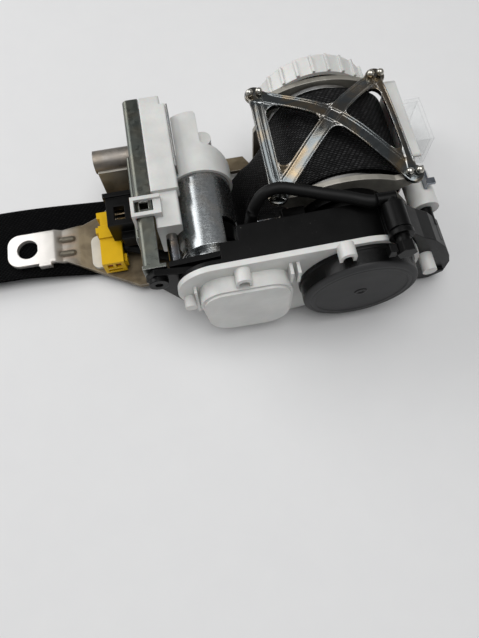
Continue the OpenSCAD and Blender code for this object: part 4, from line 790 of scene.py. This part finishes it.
def window_webs(edges, middle, radii):
    """Fillets of a window: each edge is a strip's side nearest the window's middle, and each corner is where
    two edges meet."""
    lines = []
    for start, end, width in edges:
        along = unit(np.subtract(end, start))
        side = np.array([-along[1], along[0]])
        side *= np.sign(side @ np.subtract(middle, start))
        lines.append((start + side * width / 2, along))
    webs = []
    pairs = [(0, 1), (1, 2), (2, 0)] if len(lines) == 3 else [(0, 1)]
    for (i, j), radius in zip(pairs, radii):
        (p, u), (q, w) = lines[i], lines[j]
        step = np.linalg.solve(np.stack([u, -w], -1), q - p)[0]
        apex = p + step * u
        first, second = (d * np.sign(d @ (middle - apex)) for d in (u, w))
        webs.append(brace_web(apex, first, second, radius))
    return webs


def make_brace():
    """Stamped X brace: two arms, two rails, corner pads and fillet webs, all on one crowned surface."""
    at_cross, at_corner, at_open = 2.6, 3.4, 4.0
    edge_y = WALL_OUT - 1.25
    a, b, c, d = (-CORNER_X, edge_y), (CORNER_FAR_X, edge_y), (CORNER_X, -edge_y), (-CORNER_X, -edge_y)
    falling, rising = (a, c, ARM_W), (d, b, ARM_W)
    left, right = (d, a, RAIL_LEFT_W), (c, b, RAIL_RIGHT_W)
    parts = [brace_strip(*falling, lip=0.9, flare=0.8), brace_strip(*rising, lip=0.9, flare=0.8),
             brace_strip(*left, lip=0.7, flare=0.6, rib=0.5), brace_strip(*right, lip=0.7, flare=0.5)]
    parts += [brace_pad(corner) for corner in (a, b, c, d)]
    parts += window_webs((falling, rising, left), (-18.0, 0.0), (at_cross, at_corner, at_corner))
    parts += window_webs((rising, falling, right), (18.0, 0.0), (at_cross, at_corner, at_corner))
    parts += window_webs((falling, rising), (-0.6, 20.0), (at_open,))
    parts += window_webs((falling, rising), (-0.6, -20.0), (at_open,))
    add_piece("stamped_brace", parts, "retractor", "zinc_steel", ("x_brace",), material=BRACE_ZINC)


# Small trim

# The plate's taper to the tab: where it starts, its near edge there and that edge's slope, length of the joggle
FLARE_X, FLARE_NEAR_Y, FLARE_SLOPE, JOGGLE = -135.0, -13.5, 0.5676, 3.5


def make_tab_neck():
    """Neck of the tab: a slab over the joggle whose far edge widens to the plate and whose near edge runs
    straight until the plate's own edge passes it; a loop across the slab carried along X, sinking into the
    steel at its ends."""
    rows, sink, cover, widen, rim_drop = 61, 0.05, 0.13, 1.7, 0.25
    x = np.linspace(-147, -122, rows)
    skin = cover * ramp(x, -147, -143) * (1 - ramp(x, -125.5, -122.5)) - sink
    far = TAB_FAR_Y + widen * ramp(x, -142, -123) + skin
    near = np.minimum(TAB_NEAR_Y, FLARE_NEAR_Y - FLARE_SLOPE * (x - FLARE_X)) - skin
    top = TAB_TOP - (TAB_TOP - PLATE_TOP) * np.clip((x - FLARE_X) / JOGGLE + 1, 0, 1) + skin
    t = np.linspace(0, 1, 21)
    rim = rim_drop * (1 - ramp(np.minimum(t, 1 - t), 0.0, 0.05))
    upper = top[:, None] - rim
    lower = (top - SHEET - 2 * skin)[:, None] + rim
    across = np.concatenate([t, t[::-1]])
    grid = np.stack([np.broadcast_to(x[:, None], (rows, len(across))),
                     near[:, None] + (far - near)[:, None] * across, np.hstack([upper, lower[:, ::-1]])], -1)
    add_piece("tab_neck", [(grid, loop_faces(rows, len(across)))], "retractor", "brown_zinc")


def make_shield_rim():
    """Turned-out rim along the side shield's top edge: a rounded flat section carried along Y."""
    rows, columns, wide, thick, inset = 25, 48, 2.8, 0.8, 0.2
    low, high = (np.array(corner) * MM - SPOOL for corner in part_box("side_shield"))
    c, s = np.cos(full_turn(columns)), np.sin(full_turn(columns))
    x = high[0] - inset + wide * np.sign(c) * np.abs(c) ** 0.3
    y = np.linspace(low[1] + inset, high[1] - inset, rows)[:, None]
    z = high[2] - thick + 0.05 + thick * np.sign(s) * np.abs(s) ** 0.6
    grid = np.stack(np.broadcast_arrays(x, y, z), -1)
    add_piece("shield_rim", [(grid, loop_faces(rows, columns))], "retractor", "white_plastic")


def make_cover_mark():
    """Gate mark in the middle of the spring cover: a low dished ring, its section turned about the axis."""
    around, recess = 48, 0.4
    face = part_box("spring_cover")[0][1] * MM - SPOOL[1] + recess
    radius = np.array([0.7, 1.3, 1.9, 2.3, 2.7, 3.0, 3.0, 0.7])[:, None]
    rise = np.array([0.02, 0.06, 0.26, 0.32, 0.24, 0.04, -0.2, -0.2])[:, None]
    turn = full_turn(around)
    grid = np.stack(np.broadcast_arrays(radius * np.cos(turn), face - rise, radius * np.sin(turn)), -1)
    quads = grid_quads(len(radius), around, True, True)
    add_piece("cover_mark", [(grid, quads)], "retractor", "black_plastic")


make_roll()
make_strap()
make_shield_rim()
make_cover_mark()
make_tab_neck()
make_lead()
make_brace()

# Floor, light and view

FLOOR_REACH, FLOOR_POINTS, FLOOR_GAP = 3, 25, 0.0001
floor_z = (FLOOR + SPOOL[2]) / MM - FLOOR_GAP
reach = np.linspace(-FLOOR_REACH, FLOOR_REACH, FLOOR_POINTS)
floor_x, floor_y = np.meshgrid(reach, reach, indexing="ij")
floor_points = np.stack([floor_x, floor_y, np.full_like(floor_x, floor_z)], -1).reshape(-1, 3)
floor_mesh = bpy.data.meshes.new("floor")
floor_mesh.from_pydata(floor_points.tolist(), [], grid_quads(FLOOR_POINTS, FLOOR_POINTS).tolist())
floor = bpy.data.objects.new("floor", floor_mesh)
bpy.context.scene.collection.objects.link(floor)
floor_mat, floor_tree, floor_shader = begin("floor", Roughness=0.6, Specular_IOR_Level=0.2)
floor_grain = use(floor_tree, GRAIN, Scale=900.0)
floor_tone = mix_colour(floor_tree, floor_grain.outputs["Mottle"], (0.77, 0.77, 0.772), (0.8, 0.8, 0.798))
join(floor_tree, floor_tone, floor_shader.inputs["Base Color"])
floor_mesh.materials.append(floor_mat)

world = bpy.data.worlds.new("world")
world.use_nodes = True
bpy.context.scene.world = world
world.node_tree.nodes["Background"].inputs[0].default_value = WORLD_COLOUR
world.node_tree.nodes["Background"].inputs[1].default_value = WORLD_STRENGTH
area_light("key", *KEY_LAMP)
area_light("top", *TOP_LAMP)
aim_camera(CAMERA_TURN, CAMERA_PLACE, LENS)
bpy.context.scene.view_settings.view_transform = "Standard"
